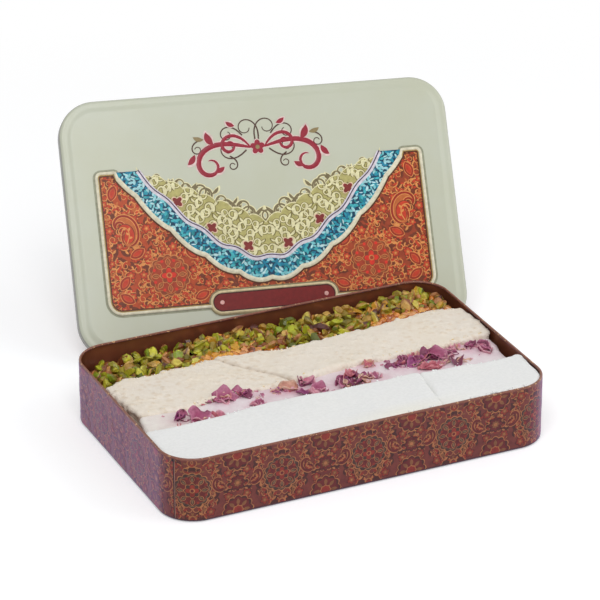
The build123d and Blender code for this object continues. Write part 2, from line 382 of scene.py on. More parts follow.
def lid_section(inside):
    """Section of the lid from its hem to the panel's edge, on the outer or inner face."""
    sheet, bend = millimetres("sheet"), millimetres("lid_shoulder")
    depth, rise = millimetres("lid_depth"), millimetres("lid_rise")
    ledge, slope = millimetres("lid_ledge"), millimetres("lid_slope")
    hem = millimetres("lid_hem")
    if inside:
        return np.concatenate([
            arc((sheet, sheet), sheet, 270, 360, 4),
            run((2 * sheet, sheet), (2 * sheet, hem), 3),
            run((2 * sheet, hem), (sheet, hem), 1),
            run((sheet, hem), (sheet, depth - bend), 6),
            arc((bend, depth - bend), bend - sheet, 180, 90, 8)[:-1],
            run((bend, depth - sheet), (ledge, depth - sheet), 2),
            run((ledge, depth - sheet), (ledge + slope, depth + rise - sheet), 6),
        ])
    back = LID_SETBACK
    share = np.linspace(0, 1, 16)
    soft = share * share * (3 - 2 * share)
    slope_points = points_at(ledge + slope * share, depth + rise * soft - back)
    return np.concatenate([
        arc((sheet, sheet), sheet, 270, 180, 5)[:-1],
        run((0.0, sheet), (0.0, depth - bend), 12),
        arc((bend, depth - bend), bend - back, 180, 90, 14)[:-1],
        run((bend, depth - back), (ledge, depth - back), 4),
        slope_points,
    ])


def stand_lid(points):
    """Moves points of the lid's own frame, where Z leaves its face, to where the lid stands:
    tipped back about X, turned about Z, then set with its hem on the floor and its lower
    shoulder a gap behind the tin's rear right corner."""
    sizes = bpy.context.scene.sweets_tin.sizes
    lean, turn = sizes.lid_lean, sizes.lid_turn
    sheet, bend = millimetres("sheet"), millimetres("lid_shoulder")
    half_length, half_width, corner = tin_halves()
    depth = millimetres("lid_depth")
    lid_half = half_width + millimetres("lid_side")
    hem_low = (sheet - lid_half) * np.cos(lean) + sheet * np.sin(lean) - sheet
    front = (bend - lid_half) * np.sin(lean) - (depth - bend) * np.cos(lean) - bend
    reach = corner - (half_length - corner) * np.sin(turn) + (half_width - corner) * np.cos(turn)
    back = reach + millimetres("lid_gap") - front
    shift = millimetres("lid_shift")
    tip = np.pi / 2 - lean
    x, y, z = points[..., 0], points[..., 1], points[..., 2]
    tipped_y = y * np.cos(tip) - z * np.sin(tip)
    tipped_z = y * np.sin(tip) + z * np.cos(tip)
    return points_at(
        x * np.cos(turn) - tipped_y * np.sin(turn) + shift * np.cos(turn) - back * np.sin(turn),
        x * np.sin(turn) + tipped_y * np.cos(turn) + shift * np.sin(turn) + back * np.cos(turn),
        tipped_z - hem_low,
    )


def tin_halves(grow=0.0):
    """Half length, half width and corner radius of the tin's outside, grown by a length."""
    sides = millimetres("length") / 2, millimetres("width") / 2, millimetres("corner")
    return tuple(side + grow for side in sides)


def lid_dents(points):
    """Height of the small dents and swells in the lid's panel."""
    flat = points * np.array([1.0, 1.0, 0.0])
    wide = 0.10 * ripple(flat, 60.0, 11) + 0.05 * ripple(flat, 22.0, 12)
    return wide - held(0.16 - lumps(flat, 19.0, 13)) * 0.5


# Printed ornament


def heading_curve(length, start, turn, power, count):
    """Curve from (0, 0) whose heading is start plus turn times the share of its length to
    that power, so that a power above 1 winds up towards its tip."""
    heading = start + turn * np.linspace(0, 1, count) ** power
    middle = (heading[1:] + heading[:-1]) / 2
    step = length / (count - 1)
    x = np.concatenate([[0.0], np.cumsum(np.cos(middle))]) * step
    y = np.concatenate([[0.0], np.cumsum(np.sin(middle))]) * step
    return points_at(x, y)


def stroke(path, width, crown=0.0, columns=2):
    """Band along a path: half its width to either side, raised by crown along its middle."""
    width = np.broadcast_to(np.asarray(width, dtype=float), path.shape[:1])
    normal = path_normals(path)
    if crown:
        columns = max(columns, 5)
    across = np.linspace(-1, 1, columns)
    flat = path[:, None] + normal[:, None] * (width[:, None] / 2 * across)[..., None]
    lift = crown * np.sqrt(held(1 - across ** 2)) + 0 * flat[..., 0]
    return np.concatenate([flat, lift[..., None]], axis=-1), False


def fan(radius, lobes=0, depth=0.2, count=20, rings=2, crown=0.0, sharp=1.0):
    """Round shape with lobes: its radius is 1 - depth + depth |cos(lobes t / 2)| ^ sharp of
    the largest one."""
    turn = np.linspace(0, 2 * np.pi, count, endpoint=False)
    edge = radius * (1 - depth + depth * np.abs(np.cos(lobes * turn / 2)) ** sharp)
    share = np.linspace(0, 1, rings + 1)[:, None]
    flat = points_at(share * edge * np.cos(turn), share * edge * np.sin(turn))
    lift = crown * np.sqrt(held(1 - share ** 2)) + 0 * flat[..., 0]
    return np.concatenate([flat, lift[..., None]], axis=-1), True


def leaf(length, width, bend, count=9, power=0.9):
    """Pointed leaf: a bent path as wide as the sine of its share."""
    share = np.linspace(0, 1, count)
    path = heading_curve(length, -bend / 2, bend, 1.0, count)
    return stroke(path, width * np.sin(np.pi * share) ** power + 0.02)


def boteh(size, grow):
    """Teardrop with a curled tip: round at its foot, narrowing along a path that winds up."""
    count = 30
    share = np.linspace(0, 1, count)
    path = heading_curve(size * 1.45, 1.9, -4.3, 2.2, count)
    foot = np.sqrt(held(1 - (1 - share / 0.24) ** 2))
    tail = 1 - held((share - 0.24) / 0.76) ** 1.15
    body = np.where(share < 0.24, foot, tail)
    width = np.maximum(size * 0.52 * body + grow, 0.05)
    path = path - np.array([0.0, 0.25 * size])
    return stroke(path, width, columns=4)


def at(x, y, turn=0.0, scale=1.0, flip=1.0):
    """Places for copies of a shape: rows of x, y, turn, scale and flip."""
    return points_at(*map(np.atleast_1d, (x, y, turn, scale, flip)))


def along(places, curl, share, lean):
    """Places on a curl that is itself copied at places, at a share of it, turned by lean."""
    x, y, turn, scale, flip = places.T
    index = int(share * (len(curl) - 1))
    step = curl[min(index + 1, len(curl) - 1)] - curl[max(index - 1, 0)]
    spot_x, spot_y = curl[index, 0] * scale, curl[index, 1] * scale * flip
    return at(
        x + spot_x * np.cos(turn) - spot_y * np.sin(turn),
        y + spot_x * np.sin(turn) + spot_y * np.cos(turn),
        turn + flip * (np.arctan2(step[1], step[0]) + lean), scale, flip,
    )


def mirrored(places):
    """The places and their mirror images across the middle line."""
    other = places * np.array([-1, 1, 1, 1, -1.0])
    other[:, 2] = np.pi - places[:, 2]
    return np.concatenate([places, other])


class PrintPlate:
    """Flat printed shapes in millimetres, each with its own level and its copies a little apart,
    kept until they are laid on the tinplate as one mesh."""

    def __init__(self, step, symmetric=False):
        self.step, self.symmetric = step, symmetric
        self.points, self.faces, self.tints, self.count = [], [], [], 0

    def add(self, shape, tint, level=1.0, places=None, limit=None, once=False):
        """Copies of a shape at their places, with their mirror images on a symmetric plate
        unless once. A limit moves points back into its region."""
        grid, around = shape
        places = at(0, 0) if places is None else places
        if self.symmetric and not once:
            places = mirrored(places)
        rows, columns = grid.shape[:2]
        x, y, turn, scale, flip = (places[:, item, None, None] for item in range(5))
        flat_x, flat_y = grid[..., 0] * scale, grid[..., 1] * scale * flip
        u = x + flat_x * np.cos(turn) - flat_y * np.sin(turn)
        v = y + flat_x * np.sin(turn) + flat_y * np.cos(turn)
        order = len(self.points) + np.arange(len(places))
        own = 0.6 * (order * 0.618 % 1.0)[:, None, None]
        lift = grid[..., 2] + (level + own) * self.step + 0 * u
        if limit is not None:
            u, v = limit(u, v)
        points = points_at(u, v, lift).reshape(-1, 3)
        faces = repeated(grid_faces(rows, columns, around), len(places), rows * columns)
        self.points.append(points)
        self.faces.append(faces + self.count)
        self.tints.append(np.broadcast_to(tint, points.shape).astype(float))
        self.count += len(points)

    def fill(self, low, high, start, end, tint, level, columns, rows):
        """Area between the curves low(u) and high(u), from u = start to end."""
        u = np.linspace(start, end, columns)
        share = np.linspace(0, 1, rows)[:, None]
        bottom = low(u)
        v = bottom * (1 - share) + np.maximum(high(u), bottom) * share
        grid = points_at(u, v, 0.0)
        self.add((grid, False), tint, level, once=True)

    def lay(self, name, surface, material):
        """Mesh of all shapes on surface(u, v, lift), the flattened ones left out."""
        points = np.concatenate(self.points)
        faces = np.concatenate(self.faces)
        flat = points[faces][..., :2]
        one, two = flat[:, 2] - flat[:, 0], flat[:, 3] - flat[:, 1]
        area = (one[:, 0] * two[:, 1] - one[:, 1] * two[:, 0]) / 2
        faces = np.where(area[:, None] < 0, faces[:, ::-1], faces)
        faces = faces[np.abs(area) > 0.0005]
        used, renumbered = np.unique(faces, return_inverse=True)
        placed = surface(points[used, 0], points[used, 1], points[used, 2])
        tints = np.concatenate(self.tints)[used]
        return add_mesh(name, placed, renumbered.reshape(-1, 4), material, tints)


def filled(path):
    """Area inside a closed path, as seen from its middle."""
    ring = path[:-1] if np.allclose(path[0], path[-1]) else path
    middle = ring.mean(axis=0)
    share = np.linspace(0, 1, 6)[:, None, None]
    flat = middle + share * (ring - middle)
    return np.concatenate([flat, 0 * flat[..., :1]], axis=-1), True


def evened(path, step):
    """The path with points evenly spaced by about that step."""
    run_length = np.concatenate([[0], np.cumsum(np.linalg.norm(np.diff(path, axis=0), axis=1))])
    count = max(int(run_length[-1] / step), 4)
    places = np.linspace(0, run_length[-1], count)
    return np.stack([np.interp(places, run_length, path[:, axis]) for axis in (0, 1)], axis=-1)


def path_normals(path):
    """Unit normals to the left of a path, which closes where its last point is its first."""
    along = np.gradient(path, axis=0)
    if np.allclose(path[0], path[-1]):
        along[0] = along[-1] = path[1] - path[-2]
    along = along / np.maximum(np.linalg.norm(along, axis=-1, keepdims=True), 1e-9)
    return points_at(-along[:, 1], along[:, 0])


def moved_aside(path, distance):
    """The path moved to its left by a distance."""
    return path + distance * path_normals(path)


def turning(x, y, start, end, radius, count=12):
    """Points of an arc about (x, y), by angles in degrees."""
    turn = np.radians(np.linspace(start, end, count))
    return points_at(x + radius * np.cos(turn), y + radius * np.sin(turn))


def nest(plate, layers, level, places, limit):
    """Shapes laid on each other at rising levels, each given by its shape and tint."""
    for rise, (shape, tint) in enumerate(layers):
        plate.add(shape, tint, level + rise, places, limit)


def add_medallion(plate, x, y, radius, tones, level, limit):
    """Round medallion of nested lobed shapes with a ring of leaves."""
    gold, dark, tan, deep, bright = tones
    place = at(x, y, np.pi / 2)
    nest(plate, [
        (fan(radius * share, lobes, depth, 96, 5), tint)
        for share, lobes, depth, tint in (
            (1.00, 16, 0.10, gold), (0.95, 16, 0.10, dark), (0.87, 8, 0.14, tan),
            (0.82, 8, 0.14, deep),
        )
    ], level, place, limit)
    ring = np.arange(8) * np.pi / 4
    for start, long, wide, tint, rise in (
        (0.42, 0.40, 0.24, gold, 4), (0.45, 0.33, 0.17, dark, 5), (0.48, 0.24, 0.09, tan, 6),
    ):
        places = at(x + np.cos(ring) * start * radius, y + np.sin(ring) * start * radius, ring)
        plate.add(leaf(long * radius, wide * radius, 0.0), tint, level + rise, places, limit)
    ring = ring + np.pi / 8
    places = at(x + np.cos(ring) * 0.72 * radius, y + np.sin(ring) * 0.72 * radius)
    plate.add(fan(0.075 * radius, count=8, rings=1), bright, level + 5, places, limit)
    nest(plate, [
        (fan(radius * share, lobes, depth, 48, 3), tint) for share, lobes, depth, tint in (
            (0.44, 8, 0.22, gold), (0.40, 8, 0.22, dark), (0.34, 4, 0.55, bright),
            (0.13, 0, 0.0, gold), (0.08, 0, 0.0, deep),
        )
    ], level + 7, place, limit)


def add_boteh(plate, places, size, tones, level, limit):
    """Teardrop motif with a curled tip: nested outlines, a smaller one inside, and leaves."""
    gold, dark, tan, deep, bright = tones
    tints = zip((2.2, 1.0, -2.0, -3.0), (gold, deep, gold, tan))
    nest(plate, [(boteh(size, grow), tint) for grow, tint in tints], level, places, limit)
    small = places * np.array([1, 1, 1, 0.62, 1])
    nest(plate, [(boteh(size, 1.2), dark), (boteh(size, -0.4), bright)], level + 4, small, limit)
    curl = heading_curve(size * 1.3, 1.9, -5.2, 2.0, 26) - np.array([0.0, 0.22 * size])
    plate.add(stroke(curl * 0.78, 0.7), gold, level + 6, places, limit)
    for share, lean in ((0.18, 0.9), (0.30, -0.9), (0.42, 0.9), (0.54, -0.9)):
        leaves = along(places, curl * 0.78, share, lean)
        plate.add(leaf(size * 0.13, size * 0.07, 0.5), gold, level + 7, leaves, limit)


def add_almond(plate, places, tones, level, limit, size):
    """Pointed leaves of four nested tints."""
    gold, _, tan, deep, bright = tones

    def layer(long, wide, tint):
        """Leaf of those shares of the size, moved on so that its middle stays the same."""
        grid, around = leaf(size * long, size * wide, 0.25, 13, 0.7)
        return (grid + np.array([size * (1 - long) / 2, 0, 0]), around), tint

    nest(plate, [
        layer(1.0, 0.60, gold), layer(0.93, 0.51, deep), layer(0.66, 0.32, tan),
        layer(0.60, 0.26, bright),
    ], level, places, limit)


def add_blossoms(plate, places, tones, level, limit, radius, petals=5):
    """Small flowers of nested petals."""
    gold, dark, tan, _, bright = tones
    nest(plate, [
        (fan(radius * share, petals, depth, 30, 1), tint) for share, depth, tint in (
            (1.18, 0.35, dark), (1.0, 0.40, bright), (0.58, 0.40, tan), (0.24, 0.0, gold),
        )
    ], level, places, limit)


def add_tendrils(plate, x, y, luck, tones, level, limit, size, width):
    """Winding tendrils with leaflets, one at each place, turned and mirrored by luck."""
    gold, dark, tan, _, bright = tones
    turn = luck[:, 0] * 2 * np.pi
    flip = np.where(luck[:, 1] > 0.5, 1.0, -1.0)
    scale = 0.75 + 0.5 * luck[:, 2]
    places = at(x, y, turn, scale, flip)
    plate.add(leaf(size * 0.55, size * 0.26, 0.8), dark, level, places, limit)
    curl = heading_curve(size, 0.0, 6.6, 1.5, 20)
    plate.add(stroke(curl, np.linspace(1.25, 0.7, 20) * width), gold, level + 1, places, limit)
    for share, lean, tint, long in (
        (0.22, -0.9, gold, 0.24), (0.40, -1.0, tan, 0.20), (0.55, -1.1, bright, 0.18),
        (0.10, 0.9, bright, 0.22),
    ):
        shape = leaf(size * long, size * long * 0.42, 0.5, 6)
        plate.add(shape, tint, level + 2, along(places, curl, share, lean), limit)


def hexagonal(left, right, low, high, pitch, seed, jitter=0.35):
    """Jittered hexagonal grid of places over a rectangle, with its unordered numbers."""
    columns = int((right - left) / pitch) + 1
    rows = int((high - low) / (pitch * 0.87)) + 1
    count = columns * rows
    luck = scattered(count, seed)
    column, row = np.arange(count) % columns, np.arange(count) // columns
    x = left + (column + 0.5 * (row % 2) + jitter * (luck[:, 3] - 0.5) * 2) * pitch
    y = low + (row + jitter * (luck[:, 4] - 0.5) * 2) * pitch * 0.87
    return x, y, luck


# Sweets


def tin_limit(y):
    """Half length of the tin's inside at each Y, shorter in its rounded corners."""
    curl_gap = 0.3
    half_length, half_width, radius = tin_halves(-2 * millimetres("rim_curl") - curl_gap)
    beyond = np.clip(np.abs(y) - (half_width - radius), 0, radius)
    return half_length - radius + np.sqrt(radius ** 2 - beyond ** 2)


def wave(x, base, slope, swells):
    """Wandering cut across the tin: base plus slope times x plus sines, each given by its
    height, its length and its place."""
    y = base + slope * x
    for height, length, place in swells:
        y = y + height * np.sin(2 * np.pi * (x - place) / length)
    return y


def rear_cut(x):
    """Cut between the pistachio and cream rows."""
    return wave(x, 42.5, -0.017, [(2.6, 150.0, 62.0), (1.4, 71.0, 20.0), (0.7, 31.0, 5.0)])


def middle_cut(x):
    """Cut between the cream and rose rows."""
    return wave(x, -2.8, 0.017, [(2.0, 210.0, -28.0), (0.8, 83.0, 10.0), (0.5, 29.0, 3.0)])


def front_cut(x):
    """Cut between the rose and white rows."""
    return wave(x, -36.0, -0.02, [(3.2, 300.0, -90.0), (0.7, 92.0, 30.0), (0.4, 37.0, 9.0)])


def beside(cut, gap):
    """Side of a bar of sweets, a gap behind its cut, or in front of it if the gap is negative."""
    return lambda x: cut(x) + gap


def end_line(back_x, front_x, back_y, front_y):
    """Function that gives the X of a slanted end at each Y."""
    slope = (back_x - front_x) / (back_y - front_y)
    return lambda y: front_x + slope * (y - front_y)


def bar_points(back, front, left, right, top, edge, stations, across):
    """Closed surface of a bar of sweets: a section with rounded top edges, carried along X
    between two cuts, with rounded ends that close on a pole. The section runs up the front,
    over the top, down the back and along the bottom. Each of its points is a share of the
    bar's width and height plus a fixed length, which rounds the top edges. Each ring of the
    ends is pushed out along X, pulled in by a length and scaled towards its centre."""
    usual_width, low, round_rings, closing_rings = 44.0, 0.7, 4, 11
    turn = np.linspace(0, np.pi / 2, 5)
    side = np.linspace(0, 1, 10)[:-1] ** 0.6
    level = np.linspace(0, 1, across)[1:-1]
    under = np.linspace(0, 1, 10)[1:-1]
    inset, drop = edge * (1 - np.cos(turn)), -edge * (1 - np.sin(turn))
    wide, fixed, high, fixed_high = np.concatenate([points_at(*part) for part in (
        (0, 0, side, -edge * side),
        (0, inset, 1, drop),
        (level, edge * (1 - 2 * level), 1, 0),
        (1, -inset[::-1], 1, drop[::-1]),
        (1, 0, side[::-1], -edge * side[::-1]),
        (1 - under, 0, 0, 0),
    )]).T
    cap_turn = np.linspace(0, np.pi / 2, round_rings + 1)[1:]
    end = np.concatenate([
        points_at(edge * np.sin(cap_turn), edge * (1 - np.cos(cap_turn)), 1),
        points_at(edge, edge, np.linspace(1, 0, closing_rings + 1)[1:]),
    ])
    straight = points_at(np.zeros(stations), 0, 1)
    push, pull, scale = np.concatenate([end[::-1] * (-1, 1, 1), straight, end]).T
    t = np.pad(np.linspace(0, 1, stations), len(end), mode="edge")[:, None]
    share = (wide + fixed / usual_width)[None, :]
    x = left(np.zeros(1)) * (1 - t) + right(np.zeros(1)) * t + 0 * share
    # The ends are slanted and the sides are uneven, so X and Y are settled together
    for _ in range(4):
        y = front(x) + (back(x) - front(x)) * share
        x = (left(y) + edge) * (1 - t) + (right(y) - edge) * t
    width = back(x) - front(x)
    y = front(x) + fixed[None, :] + wide[None, :] * width
    z = low + (top(x, y) - low) * high[None, :] + fixed_high[None, :] * (high[None, :] > 0)
    z = np.maximum(z, low)
    section = points_at(y, z)
    centre = section.mean(axis=1, keepdims=True)
    outward = section - centre
    reach = np.linalg.norm(outward, axis=-1, keepdims=True)
    inwards = np.maximum(1 - pull[:, None, None] / np.maximum(reach, 1e-6), 0)
    section = centre + outward * inwards * scale[:, None, None]
    y = section[..., 0]
    x = (left(y) + edge) * (1 - t) + (right(y) - edge) * t + push[:, None]
    return points_at(x, y, section[..., 1])


def surface_normals(points):
    """Unit normals of a grid of points that closes on itself in its second direction."""
    along = np.gradient(points, axis=0)
    around = np.roll(points, -1, axis=1) - np.roll(points, 1, axis=1)
    normals = np.cross(around, along)
    return normals / np.maximum(np.linalg.norm(normals, axis=-1, keepdims=True), 1e-9)


def add_bar(name, points, bumps, material, tints=None, loose=None):
    """Bar of sweets whose surface moves along its normals by bumps, a function of its points.
    Its sides only move inwards, so that it stays clear of its neighbours. Loose pieces are
    given by their points, faces and tints."""
    normals = surface_normals(points)
    rise = bumps(points, normals)
    level = held(normals[..., 2])
    rise = np.where(level > 0.7, rise, np.minimum(rise, 0) - 0.25 * (1 - level))
    rise = np.where(points[..., 2] < 1.5, 0, rise)
    moved = points + normals * rise[..., None]
    reach = tin_limit(moved[..., 1]) + 0.7
    moved[..., 0] = np.clip(moved[..., 0], -reach, reach)
    rows, columns = points.shape[:2]
    faces = grid_faces(rows, columns, around=True)[:, ::-1]
    moved = moved.reshape(-1, 3)
    if loose:
        faces = np.concatenate([faces, loose[1] + len(moved)])
        moved, tints = np.concatenate([moved, loose[0]]), np.concatenate([tints, loose[2]])
    piece = add_mesh(name, moved, faces, material, tints)
    close_up(piece)
    return piece


def top_slope(left, right, swell, seed):
    """Function that gives a row's top height: a straight rise with gentle swells."""
    def height(x, y):
        flat = points_at(x, y, 0.0)
        half = tin_halves()[0]
        return left + (right - left) * (x + half) / (2 * half) + swell * ripple(flat, 30.0, seed)
    return height


def brittle_top(x, y):
    """Height of the brittle's top."""
    return top_slope(28.0, 35.0, 1.2, 5)(x, y)


def rose_top(x, y):
    """Height of the rose row's top."""
    return top_slope(36.6, 37.8, 0.9, 15)(x, y)


def scattered(count, seed):
    """Unordered numbers from 0 to 1 for count pieces, in five columns."""
    cells = points_at(np.arange(count), seed, 0)
    return np.stack([lattice(cells, seed + 17 * column) for column in range(5)], axis=-1)


def turned_about(points, turn, tip, roll):
    """Sets of points turned about X by roll, then about Y by tip, then about Z by turn."""
    x, y, z = points[..., 0], points[..., 1], points[..., 2]
    roll, tip, turn = roll[:, None], tip[:, None], turn[:, None]
    y, z = y * np.cos(roll) - z * np.sin(roll), y * np.sin(roll) + z * np.cos(roll)
    x, z = x * np.cos(tip) + z * np.sin(tip), z * np.cos(tip) - x * np.sin(tip)
    x, y = x * np.cos(turn) - y * np.sin(turn), x * np.sin(turn) + y * np.cos(turn)
    return points_at(x, y, z)


def kept(keep, *arrays):
    """What each array has where keep is true."""
    return tuple(array[keep] for array in arrays)


def set_at(points, x, y, z):
    """Sets of points, each set moved by its own X, Y and Z."""
    return points + points_at(x, y, z)[:, None]


def chopped(size, seed, cuts=2, rings=5, columns=7, rough=0.16):
    """Chopped pieces of the given half sizes: a ball of rings of points for each, roughened,
    with what lies past each of its flat cuts pulled back onto the cut, then stretched. Gives
    the points, the faces and which points lie on a cut."""
    count = len(size)
    up = np.linspace(-np.pi / 2, np.pi / 2, rings)[:, None]
    around = np.linspace(0, 2 * np.pi, columns, endpoint=False)
    ball = points_at(
        np.cos(up) * np.cos(around), np.cos(up) * np.sin(around), np.sin(up) + 0 * around,
    ).reshape(-1, 3)
    own = np.arange(count)[:, None] * 7.3
    shift = points_at(own, own * 0.7, own * 0.3)
    points = ball[None] * (1 + rough * ripple(ball[None] * 1.6 + shift, 1.0, seed))[..., None]
    cut = np.zeros(points.shape[:2])
    for side in range(cuts):
        luck = scattered(count, seed + 31 * side)
        lean = (luck[:, 1] - 0.5) * 2
        level = np.sqrt(1 - lean ** 2)
        turn = luck[:, 0] * 2 * np.pi
        across = points_at(level * np.cos(turn), level * np.sin(turn), lean)
        reach = 0.15 + 0.5 * luck[:, 2]
        beyond = np.einsum("pij,pj->pi", points, across) - reach[:, None]
        cut = np.maximum(cut, (beyond > 0.02) * 1.0)
        points = points - np.clip(beyond, 0, None)[..., None] * across[:, None]
    faces = repeated(grid_faces(rings, columns, True), count, rings * columns)
    return points * size[:, None], faces, cut


# Finishes


def new_material(name):
    """Material with its Principled shader."""
    material = bpy.data.materials.new(name)
    material.use_nodes = True
    shader = material.node_tree.nodes["Principled BSDF"]
    return material, material.node_tree, shader


def add_node(tree, kind, **values):
    """Node of that kind with its properties set."""
    node = tree.nodes.new(kind)
    for key, value in values.items():
        setattr(node, key, value)
    return node


def join(tree, socket, value):
    """Sets an input socket, or links it where the value is an output socket."""
    if isinstance(value, bpy.types.NodeSocket):
        tree.links.new(value, socket)
    else:
        socket.default_value = value


def feed(tree, node, **values):
    """The node with its inputs joined, each named with underscores for spaces."""
    for key, value in values.items():
        join(tree, node.inputs[key.replace("_", " ")], value)
    return node


def math_node(tree, operation, *terms):
    """Result of a sum on two terms, each a number or a socket."""
    node = add_node(tree, "ShaderNodeMath", operation=operation)
    for socket, term in zip(node.inputs, terms):
        join(tree, socket, term)
    return node.outputs["Value"]


def noise_node(tree, place, scale, detail, roughness):
    """Noise texture on a place socket."""
    return feed(
        tree, add_node(tree, "ShaderNodeTexNoise"), Vector=place, Scale=scale, Detail=detail,
        Roughness=roughness,
    )


def spanned(tree, value, low, high):
    """A value socket stretched so that low becomes 0 and high becomes 1."""
    span = add_node(tree, "ShaderNodeMapRange")
    return feed(tree, span, Value=value, From_Min=low, From_Max=high).outputs["Result"]


def mixed(tree, factor, first, second, blend="MIX"):
    """Two colours blended by a factor."""
    mix = add_node(tree, "ShaderNodeMix", data_type="RGBA", blend_type=blend)
    return feed(tree, mix, Factor=factor, A=first, B=second).outputs["Result"]


def new_group(name, inputs, outputs):
    """Empty node group with its sockets, each given by its name, kind and starting value."""
    group = bpy.data.node_groups.new(name, "ShaderNodeTree")
    for label, kind, value in inputs:
        socket = group.interface.new_socket(name=label, in_out="INPUT", socket_type=kind)
        if value is not None:
            socket.default_value = value
    for label, kind in outputs:
        group.interface.new_socket(name=label, in_out="OUTPUT", socket_type=kind)
    return group, add_node(group, "NodeGroupInput"), add_node(group, "NodeGroupOutput")


def mottle_group():
    """Shared unevenness: two colours blended by broad noise, and a height of fine noise and
    small pits."""
    if "mottle" in bpy.data.node_groups:
        return bpy.data.node_groups["mottle"]
    group, enter, leave = new_group("mottle", (
        ("Place", "NodeSocketVector", None), ("Scale", "NodeSocketFloat", 50.0),
        ("First", "NodeSocketColor", (1, 1, 1, 1)), ("Second", "NodeSocketColor", (0, 0, 0, 1)),
    ), (("Color", "NodeSocketColor"), ("Height", "NodeSocketFloat")))
    place, scale = enter.outputs["Place"], enter.outputs["Scale"]
    broad = noise_node(group, place, scale, 4.0, 0.6)
    fine = noise_node(group, place, math_node(group, "MULTIPLY", scale, 4.0), 3.0, 0.6)
    cells = feed(
        group, add_node(group, "ShaderNodeTexVoronoi"), Vector=place,
        Scale=math_node(group, "MULTIPLY", scale, 2.5),
    )
    share = spanned(group, broad.outputs["Fac"], 0.32, 0.68)
    pits = math_node(group, "MINIMUM", cells.outputs["Distance"], 0.35)
    feed(
        group, leave, Color=mixed(group, share, enter.outputs["First"], enter.outputs["Second"]),
        Height=math_node(group, "ADD", pits, fine.outputs["Fac"]),
    )
    return group


def speckle_group():
    """Shared mask of small broken specks, more as the amount grows: worn spots, and glints painted
    on the rim.
    """
    if "speckle" in bpy.data.node_groups:
        return bpy.data.node_groups["speckle"]
    group, enter, leave = new_group("speckle", (
        ("Place", "NodeSocketVector", None), ("Scale", "NodeSocketFloat", 500.0),
        ("Amount", "NodeSocketFloat", 0.4),
    ), (("Mask", "NodeSocketFloat"),))
    noise = noise_node(group, enter.outputs["Place"], enter.outputs["Scale"], 5.0, 0.65)
    start = math_node(group, "SUBTRACT", 0.85, enter.outputs["Amount"])
    end = math_node(group, "ADD", start, 0.08)
    feed(group, leave, Mask=spanned(group, noise.outputs["Fac"], start, end))
    return group


def group_node(tree, group, place, **values):
    """A group placed in a material on a place socket, with its own values."""
    node = add_node(tree, "ShaderNodeGroup")
    node.node_tree = group
    return feed(tree, node, Place=place, **values)


def mottled(name, other, scale, roughness, bump=0.1, distance=0.0005, coat=0.0, base=None,
            metal=0.0, specks=None, shine=0.5, sheen=0.0):
    """Uneven finish with a fine relief: between a base and another colour, or without a base,
    the mesh's tints as they are and multiplied by the other. Specks are given as their tint,
    scale and amount. Sheen gives a violet bloom where it is seen along its face."""
    material, tree, shader = new_material(name)
    place = add_node(tree, "ShaderNodeTexCoord").outputs["Object"]
    first = (1, 1, 1) if base is None else base
    uneven = group_node(
        tree, mottle_group(), place, Scale=scale, First=(*first, 1), Second=(*other, 1)
    )
    result = uneven.outputs["Color"]
    if base is None:
        tint = add_node(tree, "ShaderNodeVertexColor", layer_name="tint")
        result = mixed(tree, 1.0, tint.outputs["Color"], result, "MULTIPLY")
    if specks:
        tint, size, amount = specks
        # The specks are worn spots, and on the rim they also stand for painted glints
        worn = group_node(tree, speckle_group(), place, Scale=size, Amount=amount)
        result = mixed(tree, worn.outputs["Mask"], result, (*tint, 1))
    relief = feed(
        tree, add_node(tree, "ShaderNodeBump"), Strength=bump, Distance=distance,
        Height=uneven.outputs["Height"],
    )
    feed(
        tree, shader, Base_Color=result, Roughness=roughness, Metallic=metal,
        Specular_IOR_Level=shine, Coat_Weight=coat, Coat_Roughness=0.08,
        Sheen_Weight=sheen, Sheen_Roughness=0.45, Sheen_Tint=(0.54, 0.24, 1.0, 1),
        Normal=relief.outputs["Normal"],
    )
    return material


def printed(name, scale=350.0, low=0.74, sheen=0.0):
    """Varnished print that shows the mesh's own tints, uneven, with worn light specks."""
    return mottled(
        name, (low, low * 0.97, low * 0.94), scale, 0.34, 0.05, 0.0001, 0.05,
        specks=(ink(206, 160, 116), 900.0, 0.11), shine=0.22, sheen=sheen,
    )


# Operators


def lacquered():
    """Gold lacquer of the tin's and the lid's inside, made once."""
    return bpy.data.materials.get("tin_lacquer") or mottled(
        "tin_lacquer", ink(120, 66, 46), 24.0, 0.32, coat=0.3, base=colour("lacquer"), metal=0.5,
        specks=(ink(184, 124, 84), 420.0, 0.10),
    )


